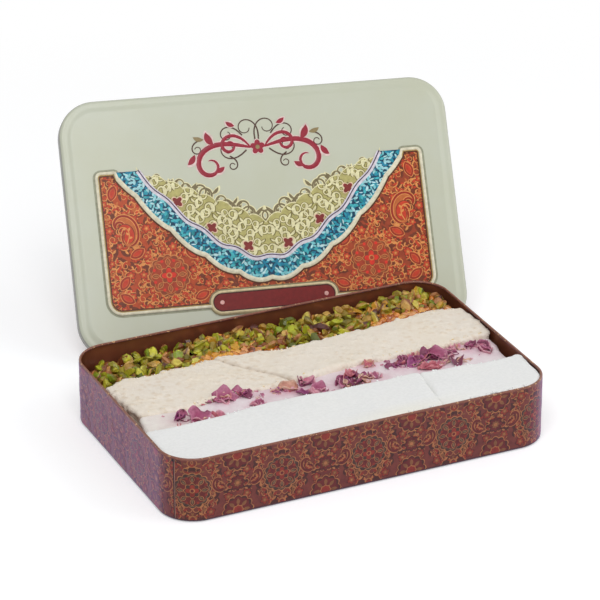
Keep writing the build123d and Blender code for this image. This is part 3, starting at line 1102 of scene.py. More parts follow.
class SWEETSTIN_OT_wall(bpy.types.Operator):
    """Build the tin's wall with its rolled rim and its lacquered lining"""

    bl_idname = "sweetstin.wall"
    bl_label = "Tin wall"

    # Millimetres up the wall: the top of the painted shade at its foot, where the gilt starts, the
    # line of painted shade under the rim, and where the rim's own finish starts
    foot_shade, gilt_start, dark_line, rim_start = 2.4, 43.2, 43.35, 43.7

    def execute(self, context):
        """Tints go from the print's red to gilt on the rim, with painted shade under the rim and at
        the foot.
        """
        steps = loop_steps(24, 60, 40)
        rings = carried_section(wall_section(), steps, *tin_halves())
        height = rings[..., 2]
        gilt = held((height - self.gilt_start) / 0.5)
        # Painted shade: darker over the foot's bend and in a line under the rim's curl
        shade = held((self.foot_shade - height) / 1.2) + bell(height, self.dark_line, 0.35)
        tints = blended(colour("wall_red"), ink(140, 84, 66), gilt)
        tints = blended(tints, ink(60, 30, 26), held(shade))
        enamel = mottled(
            "wall_enamel", (0.66, 0.58, 0.56), 220.0, 0.32, 0.12, 0.0003, 0.12,
            shine=0.25, sheen=0.36,
        )
        # The rim's light specks are partly worn spots and partly painted glints of the rolled metal
        rim = mottled(
            "rim_enamel", (0.50, 0.42, 0.40), 420.0, 0.3, 0.2, 0.0003, 0.2,
            specks=(ink(220, 172, 124), 420.0, 0.27), shine=0.35,
        )
        piece = add_mesh("tin_wall", rings, grid_faces(*height.shape, True), enamel, tints)
        piece.data.materials.append(rim)
        curled = np.repeat(height[:-1].mean(axis=1) > self.rim_start, height.shape[1])
        piece.data.polygons.foreach_set("material_index", curled.astype(np.int32))
        close_up(piece)
        finish_piece(piece, "tin", "wall_print", "body_wall")
        lacquer = lacquered()
        lining = carried_section(lining_section(), steps, *tin_halves())
        inside = add_shell("tin_lining", lining, lacquer)
        finish_piece(inside, "tin", "gold_lacquer", "body_wall")
        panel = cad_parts["bottom_panel"]
        panel.data.materials.clear()
        panel.data.materials.append(lacquer)
        return {"FINISHED"}


class SWEETSTIN_OT_lid(bpy.types.Operator):
    """Build the slip lid's outer and inner faces"""

    bl_idname = "sweetstin.lid"
    bl_label = "Slip lid"

    def execute(self, context):
        halves = tin_halves(millimetres("lid_side"))
        inset = millimetres("lid_ledge") + millimetres("lid_slope")
        top = millimetres("lid_depth") + millimetres("lid_rise") - LID_SETBACK
        inner = np.linspace(inset, halves[1], 60)[1:]
        section = np.concatenate([lid_section(False), points_at(inner, top)])
        rings = carried_section(section, loop_steps(20, 120, 80), *halves)
        face = rings[..., 2] > top - 0.02
        rings[..., 2] += np.where(face, lid_dents(rings), 0)
        cream = mottled(
            "lid_enamel", (0.97, 0.96, 0.91), 26.0, 0.34, 0.04, 0.0002, 0.15,
            specks=(ink(176, 170, 140), 260.0, 0.10), shine=0.4,
        )
        # Painted shade: the skirt below the shoulder is tinted dark grey
        skirt = held((millimetres("lid_depth") - 0.9 - rings[..., 2]) / 1.2)
        tints = blended(colour("cream"), ink(92, 92, 82), skirt)
        outer = add_shell("lid_face", stand_lid(rings), cream, tints)
        finish_piece(outer, "lid", "lid_print", "lid_shell")
        low = millimetres("lid_depth") + millimetres("lid_rise") - millimetres("sheet")
        inner = np.linspace(inset, halves[1], 12)
        section = np.concatenate([lid_section(True), points_at(inner, low)])
        rings = carried_section(section, loop_steps(16, 30, 20), *halves)
        inside = add_shell("lid_inside", stand_lid(rings), lacquered(), flipped=True)
        finish_piece(inside, "lid", "gold_lacquer", "lid_shell")
        return {"FINISHED"}


class SWEETSTIN_OT_lid_print(bpy.types.Operator):
    """Print the lid: a carpet field under a scalloped band, scrolls above it, and a plaque"""

    bl_idname = "sweetstin.lid_print"
    bl_label = "Lid print"

    # Millimetres on the lid's panel: the carpet field's half width, foot, head and corner
    # radius, the band's width, head and scallops, and the height of the flourish
    field_side, field_foot, field_head, field_corner = 114.0, -59.5, 37.5, 9.0
    band_width, band_head, scallop = 11.0, 38.0, 22.0
    flourish_height = 48.0

    def execute(self, context):
        plate = PrintPlate(0.02, symmetric=True)
        self.carpet(plate)
        self.band(plate)
        self.scrolls(plate)
        self.border(plate)
        self.plaque(plate)
        self.flourish(plate)
        piece = plate.lay("lid_ornament", self.on_lid, printed("lid_ink"))
        finish_piece(piece, "lid", "lid_print", "lid_shell")
        return {"FINISHED"}

    def on_lid(self, u, v, lift):
        """Places on the lid's panel, u to the right and v up the lid."""
        top = millimetres("lid_depth") + millimetres("lid_rise") - LID_SETBACK
        flat = points_at(u, v, 0.0)
        return stand_lid(points_at(u, v, top + lid_dents(flat) + lift))

    def bow(self, u):
        """Smooth middle of the band's lower edge: a bow that rises with |u| to the 1.75."""
        return -43.0 + 80.0 * (np.abs(u) / 100.0) ** 1.75

    def slope(self, u):
        """Slope of the bow, from its formula."""
        return 1.4 * (np.abs(u) / 100.0) ** 0.75

    def low_edge(self, u):
        """Lower edge of the band: the bow with scallops that hang down."""
        return self.bow(u) - 2.8 * np.abs(np.sin(np.pi * np.abs(u) / self.scallop)) ** 0.8

    def high_edge(self, u):
        """Upper edge of the band, its width square above the bow, with a smooth swell."""
        swell = 1.4 + 1.4 * np.cos(2 * np.pi * u / self.scallop)
        return self.bow(u) + self.band_width * np.sqrt(1 + self.slope(u) ** 2) + swell

    def band_top(self, u):
        """Upper edge of the band, cut off level at its head."""
        return np.minimum(self.high_edge(u), self.band_head)

    def crest(self, u):
        """Upper edge of the scrollwork: a shallow bow with lobes that stand up."""
        lobe = 3.0 * np.abs(np.sin(2 * np.pi * np.abs(u) / self.scallop)) ** 0.6
        bow = np.minimum(-6.0 + 40.0 * (np.abs(u) / 80.0) ** 0.95, 31.0)
        return np.maximum(bow + lobe, self.high_edge(u) + 1.5)

    def field_limit(self, u, v):
        """Moves points into the carpet field, with its rounded lower corners."""
        corner = self.field_corner
        side, foot = self.field_side - corner, self.field_foot + corner
        u = np.clip(u, -self.field_side, self.field_side)
        v = np.clip(v, self.field_foot, np.minimum(self.field_head, self.low_edge(u)))
        beyond_u, beyond_v = np.clip(np.abs(u) - side, 0, None), np.clip(foot - v, 0, None)
        far = np.hypot(beyond_u, beyond_v)
        pull = np.where(far > corner, corner / np.maximum(far, 1e-6), 1.0)
        u = np.sign(u) * (np.minimum(np.abs(u), side) + beyond_u * pull)
        return u, np.maximum(v, foot) - beyond_v * pull

    def band_limit(self, u, v):
        """Moves points into the band."""
        high = self.band_top(u)
        return u, np.clip(v, np.minimum(self.low_edge(u), high), high)

    def scroll_limit(self, u, v):
        """Moves points into the scrollwork."""
        return u, np.clip(v, self.high_edge(u) + 1.0, self.crest(u) - 0.3)

    def carpet(self, plate):
        """Red field filled with tendrils and blossoms, then the large motifs over them."""
        tones = inks((228, 150, 82), (116, 52, 28), (200, 108, 54), (160, 46, 28), (204, 64, 38))
        limit = self.field_limit
        grid_u, grid_v = np.meshgrid(np.linspace(-115, 115, 140), np.linspace(-61, 39, 60))
        base = points_at(grid_u, grid_v, 0.0)
        share = held((grid_u + 60) / 140 + 0.4 * grain(base, 30.0, 207))
        ground = blended(colour("red"), ink(158, 66, 36), share)
        plate.add((base, False), ground.reshape(-1, 3), 1, None, limit, once=True)
        x, y, luck = hexagonal(2.0, 114.0, -60.0, 38.0, 6.2, 201)
        x, y, luck = kept(y < self.low_edge(x) + 4, x, y, luck)
        spots = at(x + 3.0, y + 2.0, luck[:, 1] * ANY_WAY, 0.8 + 0.5 * luck[:, 0])
        plate.add(leaf(5.0, 2.0, 0.6, 6), tones[1], 2, spots, limit)
        add_tendrils(plate, x, y, luck, tones, 3, limit, 14.0, 0.62)
        x, y, luck = hexagonal(5.0, 112.0, -56.0, 36.0, 12.0, 233)
        x, y, luck = kept(y < self.low_edge(x), x, y, luck)
        places = at(x, y, luck[:, 0] * ANY_WAY, 0.8 + 0.4 * luck[:, 1])
        add_blossoms(plate, places, tones, 6, limit, 2.6)
        almonds = np.array([
            (105.0, -44.0, 2.2), (96.0, -53.0, 0.6), (50.0, -26.0, 0.9), (44.0, -49.0, -0.4),
            (86.0, -16.0, -0.5), (106.0, 18.0, 1.9), (70.0, -7.0, 2.4), (27.0, -54.0, 0.5),
        ])
        places = at(almonds[:, 0], almonds[:, 1], almonds[:, 2])
        add_almond(plate, places, tones, 11, limit, 12.0)
        add_boteh(plate, at(97.0, -8.0, 0.15), 22.0, tones, 15, limit)
        soft = inks((212, 134, 74), (142, 66, 38), (182, 106, 56), (172, 64, 36), (226, 56, 38))
        add_medallion(plate, 71.0, -36.0, 15.0, soft, 12, limit)

    def band(self, plate):
        """Mosaic band: flakes of many blues on dark blue, with a pale upper edge."""
        limit = self.band_limit
        plate.fill(self.low_edge, self.band_top, -99.0, 99.0, ink(18, 60, 90), 24, 260, 10)
        x, y, luck = hexagonal(0.7, 100.0, -48.0, 40.0, 2.5, 251, 0.3)
        inside = (y > self.low_edge(x) + 0.3) & (y < self.band_top(x) - 0.3)
        x, y, luck = kept(inside, x, y, luck)
        turn = np.arctan(self.slope(x)) + np.where(luck[:, 0] > 0.5, 0.9, -0.8)
        turn = turn + 0.9 * (luck[:, 1] - 0.5)
        places = at(x - 1.7 * np.cos(turn), y - 1.7 * np.sin(turn), turn, 0.8 + 0.5 * luck[:, 2])
        for index, tint in enumerate(inks(
            (70, 182, 192), (24, 128, 160), (166, 220, 228), (40, 152, 176), (128, 206, 214),
            (34, 140, 150),
        )):
            chosen = places[(luck[:, 3] * 6).astype(int) == index]
            plate.add(leaf(3.4, 1.7, 0.5, 6, 0.6), tint, 26, chosen, limit)
            chosen = places[(luck[:, 4] * 30).astype(int) == index]
            plate.add(leaf(3.0, 0.6, 0.5, 6, 0.6), ink(216, 238, 240), 27.5, chosen, limit)
        u = np.linspace(-97, 97, 500)
        high = points_at(u, self.high_edge(u))
        high = evened(high[high[:, 1] < self.field_head], 0.8)
        for rise, width, crown, tint, level in (
            (0.9, 3.4, 0.3, ink(228, 222, 232), 28), (1.6, 0.8, 0.0, ink(78, 56, 84), 46),
        ):
            line = stroke(high + np.array([0, rise]), width, crown)
            plate.add(line, tint, level, once=True)

    def scrolls(self, plate):
        """Gold scrollwork standing on the band: rows of spirals with leaves on a lobed ground,
        mirrored by turns, with buds between them and open curls along its upper edge."""
        gold, pale, olive = ink(188, 180, 114), ink(236, 230, 184), ink(126, 116, 62)

        def base(u):
            return self.high_edge(u) + 0.6

        plate.fill(base, lambda u: self.crest(u) + 0.8, -86, 86, pale, 4, 400, 8)
        plate.fill(base, self.crest, -85, 85, gold, 5, 400, 8)
        u, row = (array.ravel() for array in np.meshgrid(np.arange(12) * 7.2, np.arange(4)))
        flip = np.where((u / 7.2 + row) % 2 < 1, 1.0, -1.0)
        u = u + 3.4 + 3.6 * (row % 2)
        v = self.high_edge(u) + 3.0 + 6.2 * row
        u, v, flip = kept(v < self.crest(u) - 1.5, u, v, flip)
        self.spirals(plate, u, v, flip, 1.1, (pale, 1.0, 9), (olive, 2.1, 7), self.scroll_limit)
        stems = np.arange(12) * 7.0 + 3.0
        flip = np.where(np.arange(12) % 2 == 0, 1.0, -1.0)
        tall = np.clip((104.0 - stems) / 60.0, 0.5, 1.0) * 1.7
        grey = ink(128, 116, 84)
        self.spirals(
            plate, stems, self.crest(stems) - 4.0, flip, tall, (grey, 0.8, 3), (pale, 1.7, 2)
        )
        buds = np.array([14.0, 38.0, 60.0])
        places = at(buds, self.high_edge(buds) + 8.0, np.pi / 4)
        for radius, tint, level in ((4.9, ink(236, 206, 176), 26), (4.0, ink(132, 46, 42), 27)):
            plate.add(fan(radius, 4, 0.45, 40, 3, sharp=1.4), tint, level, places)

    def spirals(self, plate, u, v, flip, scale, core, edge, limit=None):
        """Spirals that rise from (u, v) and wind up to either side, with a leaf at either side
        of the stem. Core and edge each give a tint, a width and a level."""
        turn = np.where(flip > 0, 1.25, np.pi - 1.25)
        luck = scattered(len(u), 261)
        turn = turn + 0.5 * (luck[:, 0] - 0.5)
        scale = scale * (0.8 + 0.4 * luck[:, 1])
        places = at(u, v, turn, scale, flip)
        curl = heading_curve(19.0, -0.5, 8.4, 1.25, 30)
        taper = np.linspace(1, 0.6, 30)
        for tint, width, level in (edge, core):
            plate.add(stroke(curl, width * taper), tint, level, places, limit)
            for share, lean in ((0.0, 0.9), (0.2, -0.9)):
                shape = leaf(3.2 + width, width + 0.4, 0.9, 7)
                plate.add(shape, tint, level + 0.5, along(places, curl, share, lean), limit)

    def border(self, plate):
        """Raised cream bead round the field, with a painted shadow line outside and two lines
        inside.
        It runs from one end of the plaque round to the other."""
        u = np.linspace(99.5, -99.5, 700)
        path = evened(np.concatenate([
            np.array([(43.6, -60.0), (105.0, -60.0)]), turning(105, -51, -90, 0, 9.0),
            np.array([(114.0, 34.0)]), turning(111, 35, 0, 90, 3.0, 6), np.array([(101.0, 38.0)]),
            points_at(u, np.minimum(self.low_edge(u), self.band_head)),
            np.array([(-101.0, 38.0)]), turning(-111, 35, 90, 180, 3.0, 6),
            np.array([(-114.0, 34.0)]), turning(-105, -51, 180, 270, 9.0),
            np.array([(-43.6, -60.0)]),
        ]), 1.0)
        # The first line is the bead's painted shadow; the other two are print
        for aside, width, tint, level in (
            (-1.4, 2.2, ink(160, 162, 138), 1), (1.8, 1.5, ink(84, 42, 26), 30),
            (1.1, 1.2, ink(176, 146, 84), 31),
        ):
            plate.add(stroke(moved_aside(path, aside), width), tint, level, once=True)
        scallop = (np.abs(path[:, 0]) < 99.6) & (path[:, 1] > -59.0)
        bead = stroke(path, np.where(scallop, 3.0, 2.0), 0.5)
        plate.add(bead, ink(232, 226, 200), 32, once=True)

    def plaque(self, plate):
        """Bare maroon plaque with round ends, in a raised rim, with a dot at each end."""
        half, radius, middle = 36.5, 6.2, -58.0

        def pill(grow):
            return evened(np.concatenate([
                turning(half, middle, -90, 90, radius + grow),
                turning(-half, middle, 90, 270, radius + grow),
                turning(half, middle, -90, -89, radius + grow, 2)[:1],
            ]), 1.2)

        for grow, tint, level in (
            (3.0, ink(140, 128, 94), 33), (0.8, ink(70, 16, 14), 46), (-0.6, ink(122, 22, 20), 48),
        ):
            plate.add(filled(pill(grow)), tint, level, once=True)
        rim = pill(1.0)
        rim[-1] = rim[0]
        plate.add(stroke(rim, 1.9, 0.7), ink(224, 208, 166), 34, once=True)
        dots, shape = at(np.array([-half, half]), middle), fan(1.5, crown=0.15)
        plate.add(shape, ink(232, 178, 170), 50, dots, once=True)

    def flourish(self, plate):
        """Plain mirrored scrolls in the open part of the lid."""
        maroon, dark, gold = ink(156, 40, 58), ink(84, 58, 48), ink(150, 132, 92)
        glow, middle = ink(230, 206, 200), self.flourish_height
        swell = np.sin(np.pi * np.linspace(0.04, 1, 56)) ** 0.6
        for length, start, turn, power, x, y, wide, level in (
            (76.0, 0.25, -7.0, 2.6, 4.0, 0.0, 3.4, 3), (46.0, 0.9, -7.6, 2.0, 5.0, 0.5, 2.2, 4),
        ):
            curl, place = heading_curve(length, start, turn, power, 56), at(x, middle + y)
            plate.add(stroke(curl, (wide + 0.9) * swell + 0.9), glow, 2, place)
            plate.add(stroke(curl, wide * swell + 0.2, 0.2), maroon, level, place)
        for length, start, turn, x, y in (
            (42.0, -0.7, 7.4, 8.0, -1.5), (40.0, 1.45, 6.4, 1.0, 4.0), (34.0, 0.9, -6.8, 10.0, 9.0),
            (26.0, -0.2, -7.4, 38.0, 8.0), (22.0, -2.6, 7.0, 20.0, -5.0),
        ):
            curl = heading_curve(length, start, turn, 1.9, 32)
            plate.add(stroke(curl, np.linspace(1.1, 0.6, 32)), dark, 5, at(x, middle + y))
        for x, y, turn, long in (
            (30.0, 3.5, 1.1, 11.0), (44.0, -2.0, -0.9, 9.0), (14.0, 16.0, 0.5, 7.0),
            (24.0, -12.0, -0.4, 8.0),
        ):
            plate.add(leaf(long + 1.6, long * 0.5 + 1.4, 0.8), glow, 6, at(x, middle + y, turn))
            plate.add(leaf(long, long * 0.44, 0.8), maroon, 7, at(x + 0.5, middle + y, turn))
        plate.add(leaf(8.0, 3.2, 0.8), gold, 7, at(37.0, middle + 8.0, 0.3))
        for radius, tint, level in ((6.0, glow, 8), (5.2, maroon, 9), (1.5, gold, 10)):
            lobes = 0 if level == 10 else 5
            plate.add(fan(radius, lobes, 0.35, 40, 3), tint, level, at(0.0, middle, np.pi / 2))


class SWEETSTIN_OT_wall_print(bpy.types.Operator):
    """Print the carpet pattern round the tin's wall, with its seam and notch"""

    bl_idname = "sweetstin.wall_print"
    bl_label = "Wall print"

    def execute(self, context):
        ground, plate = PrintPlate(0.015), PrintPlate(0.015)
        tones = inks((176, 114, 70), (78, 42, 28), (136, 88, 52), (108, 42, 32), (146, 54, 36))
        total = self.whole_length()
        repeats = 14
        pitch = total / repeats
        starts = (np.arange(repeats) - repeats / 2) * pitch
        x, y, luck = hexagonal(0.0, pitch / 2, 2.0, 44.0, 7.1, 301)
        for start in starts:
            for side in (1, -1):
                add_tendrils(
                    ground, start + side * x, y, self.turned(luck, side), tones, 1,
                    self.limit, 14.0, 0.55,
                )
        repeat = starts[:, None]
        blossoms = np.array([(12.0, 6.0), (18.5, 22.0), (12.0, 39.0), (24.0, 14.0), (24.0, 31.0)])
        for side in (1, -1):
            places = at(
                (repeat + side * blossoms[:, 0]).ravel(), np.tile(blossoms[:, 1], repeats),
                0.3 * side,
            )
            add_blossoms(ground, places, tones, 4, self.limit, 3.0)
            places = at((repeat + side * 19.5).ravel(), 22.5, np.pi / 2 - side * 0.5, 1.0, side)
            add_boteh(plate, places, 10.0, tones, 5, self.limit)
        self.roundels(plate, starts + pitch / 2, tones)
        medallion = (tones[0], ink(76, 52, 40), ink(126, 98, 68), tones[3], tones[4])
        for start in starts:
            add_medallion(plate, start, 22.5, 13.0, medallion, 4, self.limit)
        self.seam(plate)
        finish = printed("wall_ink", 260.0, 0.6, 0.36)
        for name, layer in (("wall_tracery", ground), ("wall_medallions", plate)):
            finish_piece(layer.lay(name, self.on_wall, finish), "tin", "wall_print", "body_wall")
        return {"FINISHED"}

    def turned(self, luck, side):
        """The unordered numbers as they are, or those of the mirror image."""
        if side > 0:
            return luck
        other = luck.copy()
        other[:, 0] = (0.5 - luck[:, 0]) % 1.0
        other[:, 1] = 1 - luck[:, 1]
        return other

    def limit(self, s, z):
        """Moves points into the flat part of the wall."""
        return s, np.clip(z, PRINT_LOW, PRINT_HIGH)

    def roundels(self, plate, places, tones):
        """Lobed shields cut by the rim and the foot, with a ring of leaves in each."""
        gold, dark, tan, deep, bright = tones
        ring = np.arange(8) * np.pi / 4
        for height in (3.0, 42.0):
            for radius, lobes, tint, level in (
                (11.2, 12, gold, 8), (10.5, 12, dark, 9), (9.4, 8, deep, 10), (3.9, 8, gold, 13),
                (3.2, 8, bright, 14),
            ):
                shape = fan(radius, lobes, 0.14, 48, 3)
                plate.add(shape, tint, level, at(places, height), self.limit)
            leaves = at(
                places[:, None] + 3.4 * np.cos(ring), height + 3.4 * np.sin(ring), ring
            ).reshape(-1, 5)
            plate.add(leaf(5.0, 2.4, 0.3), tan, 11, leaves, self.limit)
        add_blossoms(plate, at(places, 22.5), (gold, dark, tan, deep, deep), 8, self.limit, 5.0, 8)

    def seam(self, plate):
        """The wall's upright seam in painted shade with a painted highlight, and its end notch in
        painted shade.
        """
        z = np.linspace(2.0, 43.3, 20)
        # Painted shade in the seam's groove, with a painted highlight beside it
        for shift, width, tint in ((0.0, 0.7, ink(52, 26, 24)), (0.7, 0.5, ink(166, 124, 108))):
            line = points_at(SEAM_PLACE + shift, z)
            plate.add(stroke(line, width), tint, 15.2)
        # The notch: a dark disc painted for the shade in its hole
        plate.add(fan(1.3), ink(22, 10, 10), 15.4, at(SEAM_PLACE, 42.6), self.limit)

    def whole_length(self):
        """Length round the tin's outer face."""
        half_length, half_width, radius = tin_halves()
        return 4 * (half_length + half_width) - 8 * radius + 2 * np.pi * radius

    def on_wall(self, s, z, lift):
        """Places on the wall: s runs along it from the middle of the front, to the right. The
        corner centres follow s by straight lines, and so does the heading."""
        half_length, half_width, radius = tin_halves()
        half_length, half_width = half_length - radius, half_width - radius
        quarter = np.pi * radius / 2
        parts = [0, half_length, quarter, 2 * half_width, quarter, 2 * half_length, quarter,
                 2 * half_width, quarter, half_length]
        marks = np.cumsum(parts)
        signs_x = np.array([0, 1, 1, 1, 1, -1, -1, -1, -1, 0])
        signs_y = np.array([-1, -1, -1, 1, 1, 1, 1, -1, -1, -1])
        headings = np.array([0, 0, 1, 1, 2, 2, 3, 3, 4, 4]) * np.pi / 2
        s = np.mod(s, marks[-1])
        heading = np.interp(s, marks, headings) - np.pi / 2
        out = radius - WALL_SETBACK + lift
        x = np.interp(s, marks, signs_x * half_length) + out * np.cos(heading)
        y = np.interp(s, marks, signs_y * half_width) + out * np.sin(heading)
        return points_at(x, y, z)


class SWEETSTIN_OT_pistachio(bpy.types.Operator):
    """Build the pistachio brittle: a caramel bar, lumps of caramel and chopped kernels"""

    bl_idname = "sweetstin.pistachio"
    bl_label = "Pistachio row"

    def execute(self, context):
        wall = millimetres("width") / 2 - WALL_GAP
        left = end_line(-126.0, -128.0, 85.5, 42.5)
        points = bar_points(
            lambda x: wall + 0 * x, beside(rear_cut, CUT_GAP),
            lambda y: np.maximum(left(y), -tin_limit(y)), tin_limit, brittle_top, 3.0, 220, 44,
        )
        caramel = mottled(
            "caramel", ink(92, 44, 18), 140.0, 0.22, 0.5, coat=0.6, base=colour("caramel")
        )
        bar = add_bar(
            "pistachio_brittle", points,
            lambda place, normal: 1.8 * (0.6 - lumps(place, 6.0, 3)) + 0.5 * grain(place, 3.0, 4),
            caramel,
        )
        finish_piece(bar, "pistachio_row", "caramel", "pistachio_bar")
        finish_piece(self.kernels(), "pistachio_row", "pistachio", "pistachio_kernels")
        finish_piece(self.caramel_lumps(), "pistachio_row", "caramel")
        return {"FINISHED"}

    def seats(self, columns, rows, seed):
        """Jittered grid of places over the row, with their unordered numbers."""
        luck = scattered(columns * rows, seed)
        column, row = np.arange(columns * rows) % columns, np.arange(columns * rows) // columns
        start, long = -121.5, 253.0
        x = start + (column + 0.5 * (row % 2) + 0.8 * (luck[:, 0] - 0.5)) * long / columns
        front, back = rear_cut(x) + 2.8 + 11.0 * self.bare(x), 83.0
        y = front + (row + 0.5 + 0.8 * (luck[:, 1] - 0.5)) * (back - front) / rows
        return kept(np.abs(x) < tin_limit(y) - 3.4, x, y, luck)

    def bare(self, x):
        """How bare of kernels the row's front is at each X, where its caramel shows."""
        return bell(x, -24.0, 34.0, 4) + bell(x, 98.0, 34.0, 4)

    def kernels(self):
        """Chopped kernels in two layers, their cut faces green and their skins brown."""
        lower, upper = self.seats(38, 7, 31), self.seats(24, 5, 33)
        x, y, luck = (np.concatenate(pair) for pair in zip(lower, upper))
        count = len(x)
        more, last = scattered(count, 77), scattered(count, 79)
        size = points_at(
            3.8 + 3.2 * luck[:, 2] ** 1.4, 2.8 + 1.5 * luck[:, 3], 1.9 + 1.2 * luck[:, 4],
        )
        shape, faces, cut = chopped(size, 41)
        placed = turned_about(
            shape, more[:, 0] * ANY_WAY, (more[:, 1] - 0.5) * 2.0, (more[:, 2] - 0.5) * 2.4
        )
        layer = np.where(np.arange(count) < len(lower[0]), 1.1, 3.9) + 1.6 * more[:, 3]
        edge = np.clip((y - rear_cut(x)) / 9.0, 0.35, 1.0) * np.clip((86.5 - y) / 7.0, 0.5, 1.0)
        placed = set_at(placed, x, y, brittle_top(x, y) + layer * edge + 0.4)
        insides = inks(
            (210, 208, 66), (184, 190, 44), (136, 158, 34), (222, 206, 92), (226, 186, 104),
            (210, 158, 50), (160, 136, 44),
        )
        skins = inks(
            (158, 154, 40), (120, 110, 32), (92, 100, 24), (184, 146, 66), (192, 134, 88),
            (140, 80, 44), (92, 50, 44),
        )
        marks = np.array([0.24, 0.44, 0.56, 0.70, 0.80, 0.90])
        ripe = np.where(x > 62.0, 0.3 + 0.7 * last[:, 0], last[:, 0])
        pick = np.searchsorted(marks, ripe)
        other = np.searchsorted(marks, (ripe + 0.6 * (last[:, 1] - 0.3)) % 1.0)
        tone_change = 1 + 0.18 * ripple(placed, 1.6, 45)[..., None]
        tint = blended(skins[other][:, None], insides[pick][:, None], cut) * tone_change
        material = mottled(
            "pistachio", (0.68, 0.60, 0.48), 420.0, 0.34, 0.3, coat=0.2, shine=0.3
        )
        return add_mesh("pistachio_kernels_heap", placed, faces, material, tint, smooth=False)

    def caramel_lumps(self):
        """Glossy lumps of caramel, most of them along the front of the row."""
        count = 520
        luck, more = scattered(count, 57), scattered(count, 59)
        x = -121.0 + 252.0 * luck[:, 0]
        heap = self.bare(x)
        y = rear_cut(x) + 2.4 + (4.0 + 12.0 * heap) * luck[:, 1] ** 1.1
        spread = luck[:, 2] > 0.62
        y = np.where(spread, rear_cut(x) + 3.0 + (80.0 - rear_cut(x)) * luck[:, 1], y)
        keep = ((more[:, 0] < 0.25 + heap) | spread) & (np.abs(x) < tin_limit(y) - 3.5) & (y < 82)
        x, y, luck, more, heap = kept(keep, x, y, luck, more, heap)
        spots = np.array([(-54.0, 50.0), (-46.0, 51.0), (-38.0, 49.0)])
        golden = near(points_at(x, y), spots, 7.0)
        size = points_at(
            2.4 + 2.6 * luck[:, 3], 1.8 + 1.6 * luck[:, 4], 1.4 + 1.1 * more[:, 1],
        ) * (1 + 0.35 * heap + 0.5 * golden)[:, None]
        shape, faces, _ = chopped(size, 61, 1, 6, 8, 0.3)
        placed = turned_about(
            shape, more[:, 2] * ANY_WAY, (more[:, 3] - 0.5) * 1.2, (more[:, 4] - 0.5) * 1.2
        )
        rise = 0.4 + 2.2 * heap * more[:, 0] + 2.4 * golden
        placed = set_at(placed, x, y, brittle_top(x, y) + rise)
        palette = inks((228, 146, 50), (186, 98, 30), (242, 184, 84), (132, 64, 24), (222, 156, 94))
        pick = np.searchsorted(np.array([0.3, 0.52, 0.72, 0.86]), luck[:, 4])
        tone = blended(palette[pick], ink(234, 170, 34), golden)
        tone_change = 1 + 0.25 * ripple(placed, 1.8, 65)[..., None]
        tint = tone[:, None] * tone_change
        material = mottled("caramel_lump", (0.75, 0.56, 0.40), 300.0, 0.16, 0.35, coat=0.6)
        return add_mesh("caramel_lumps", placed, faces, material, tint)


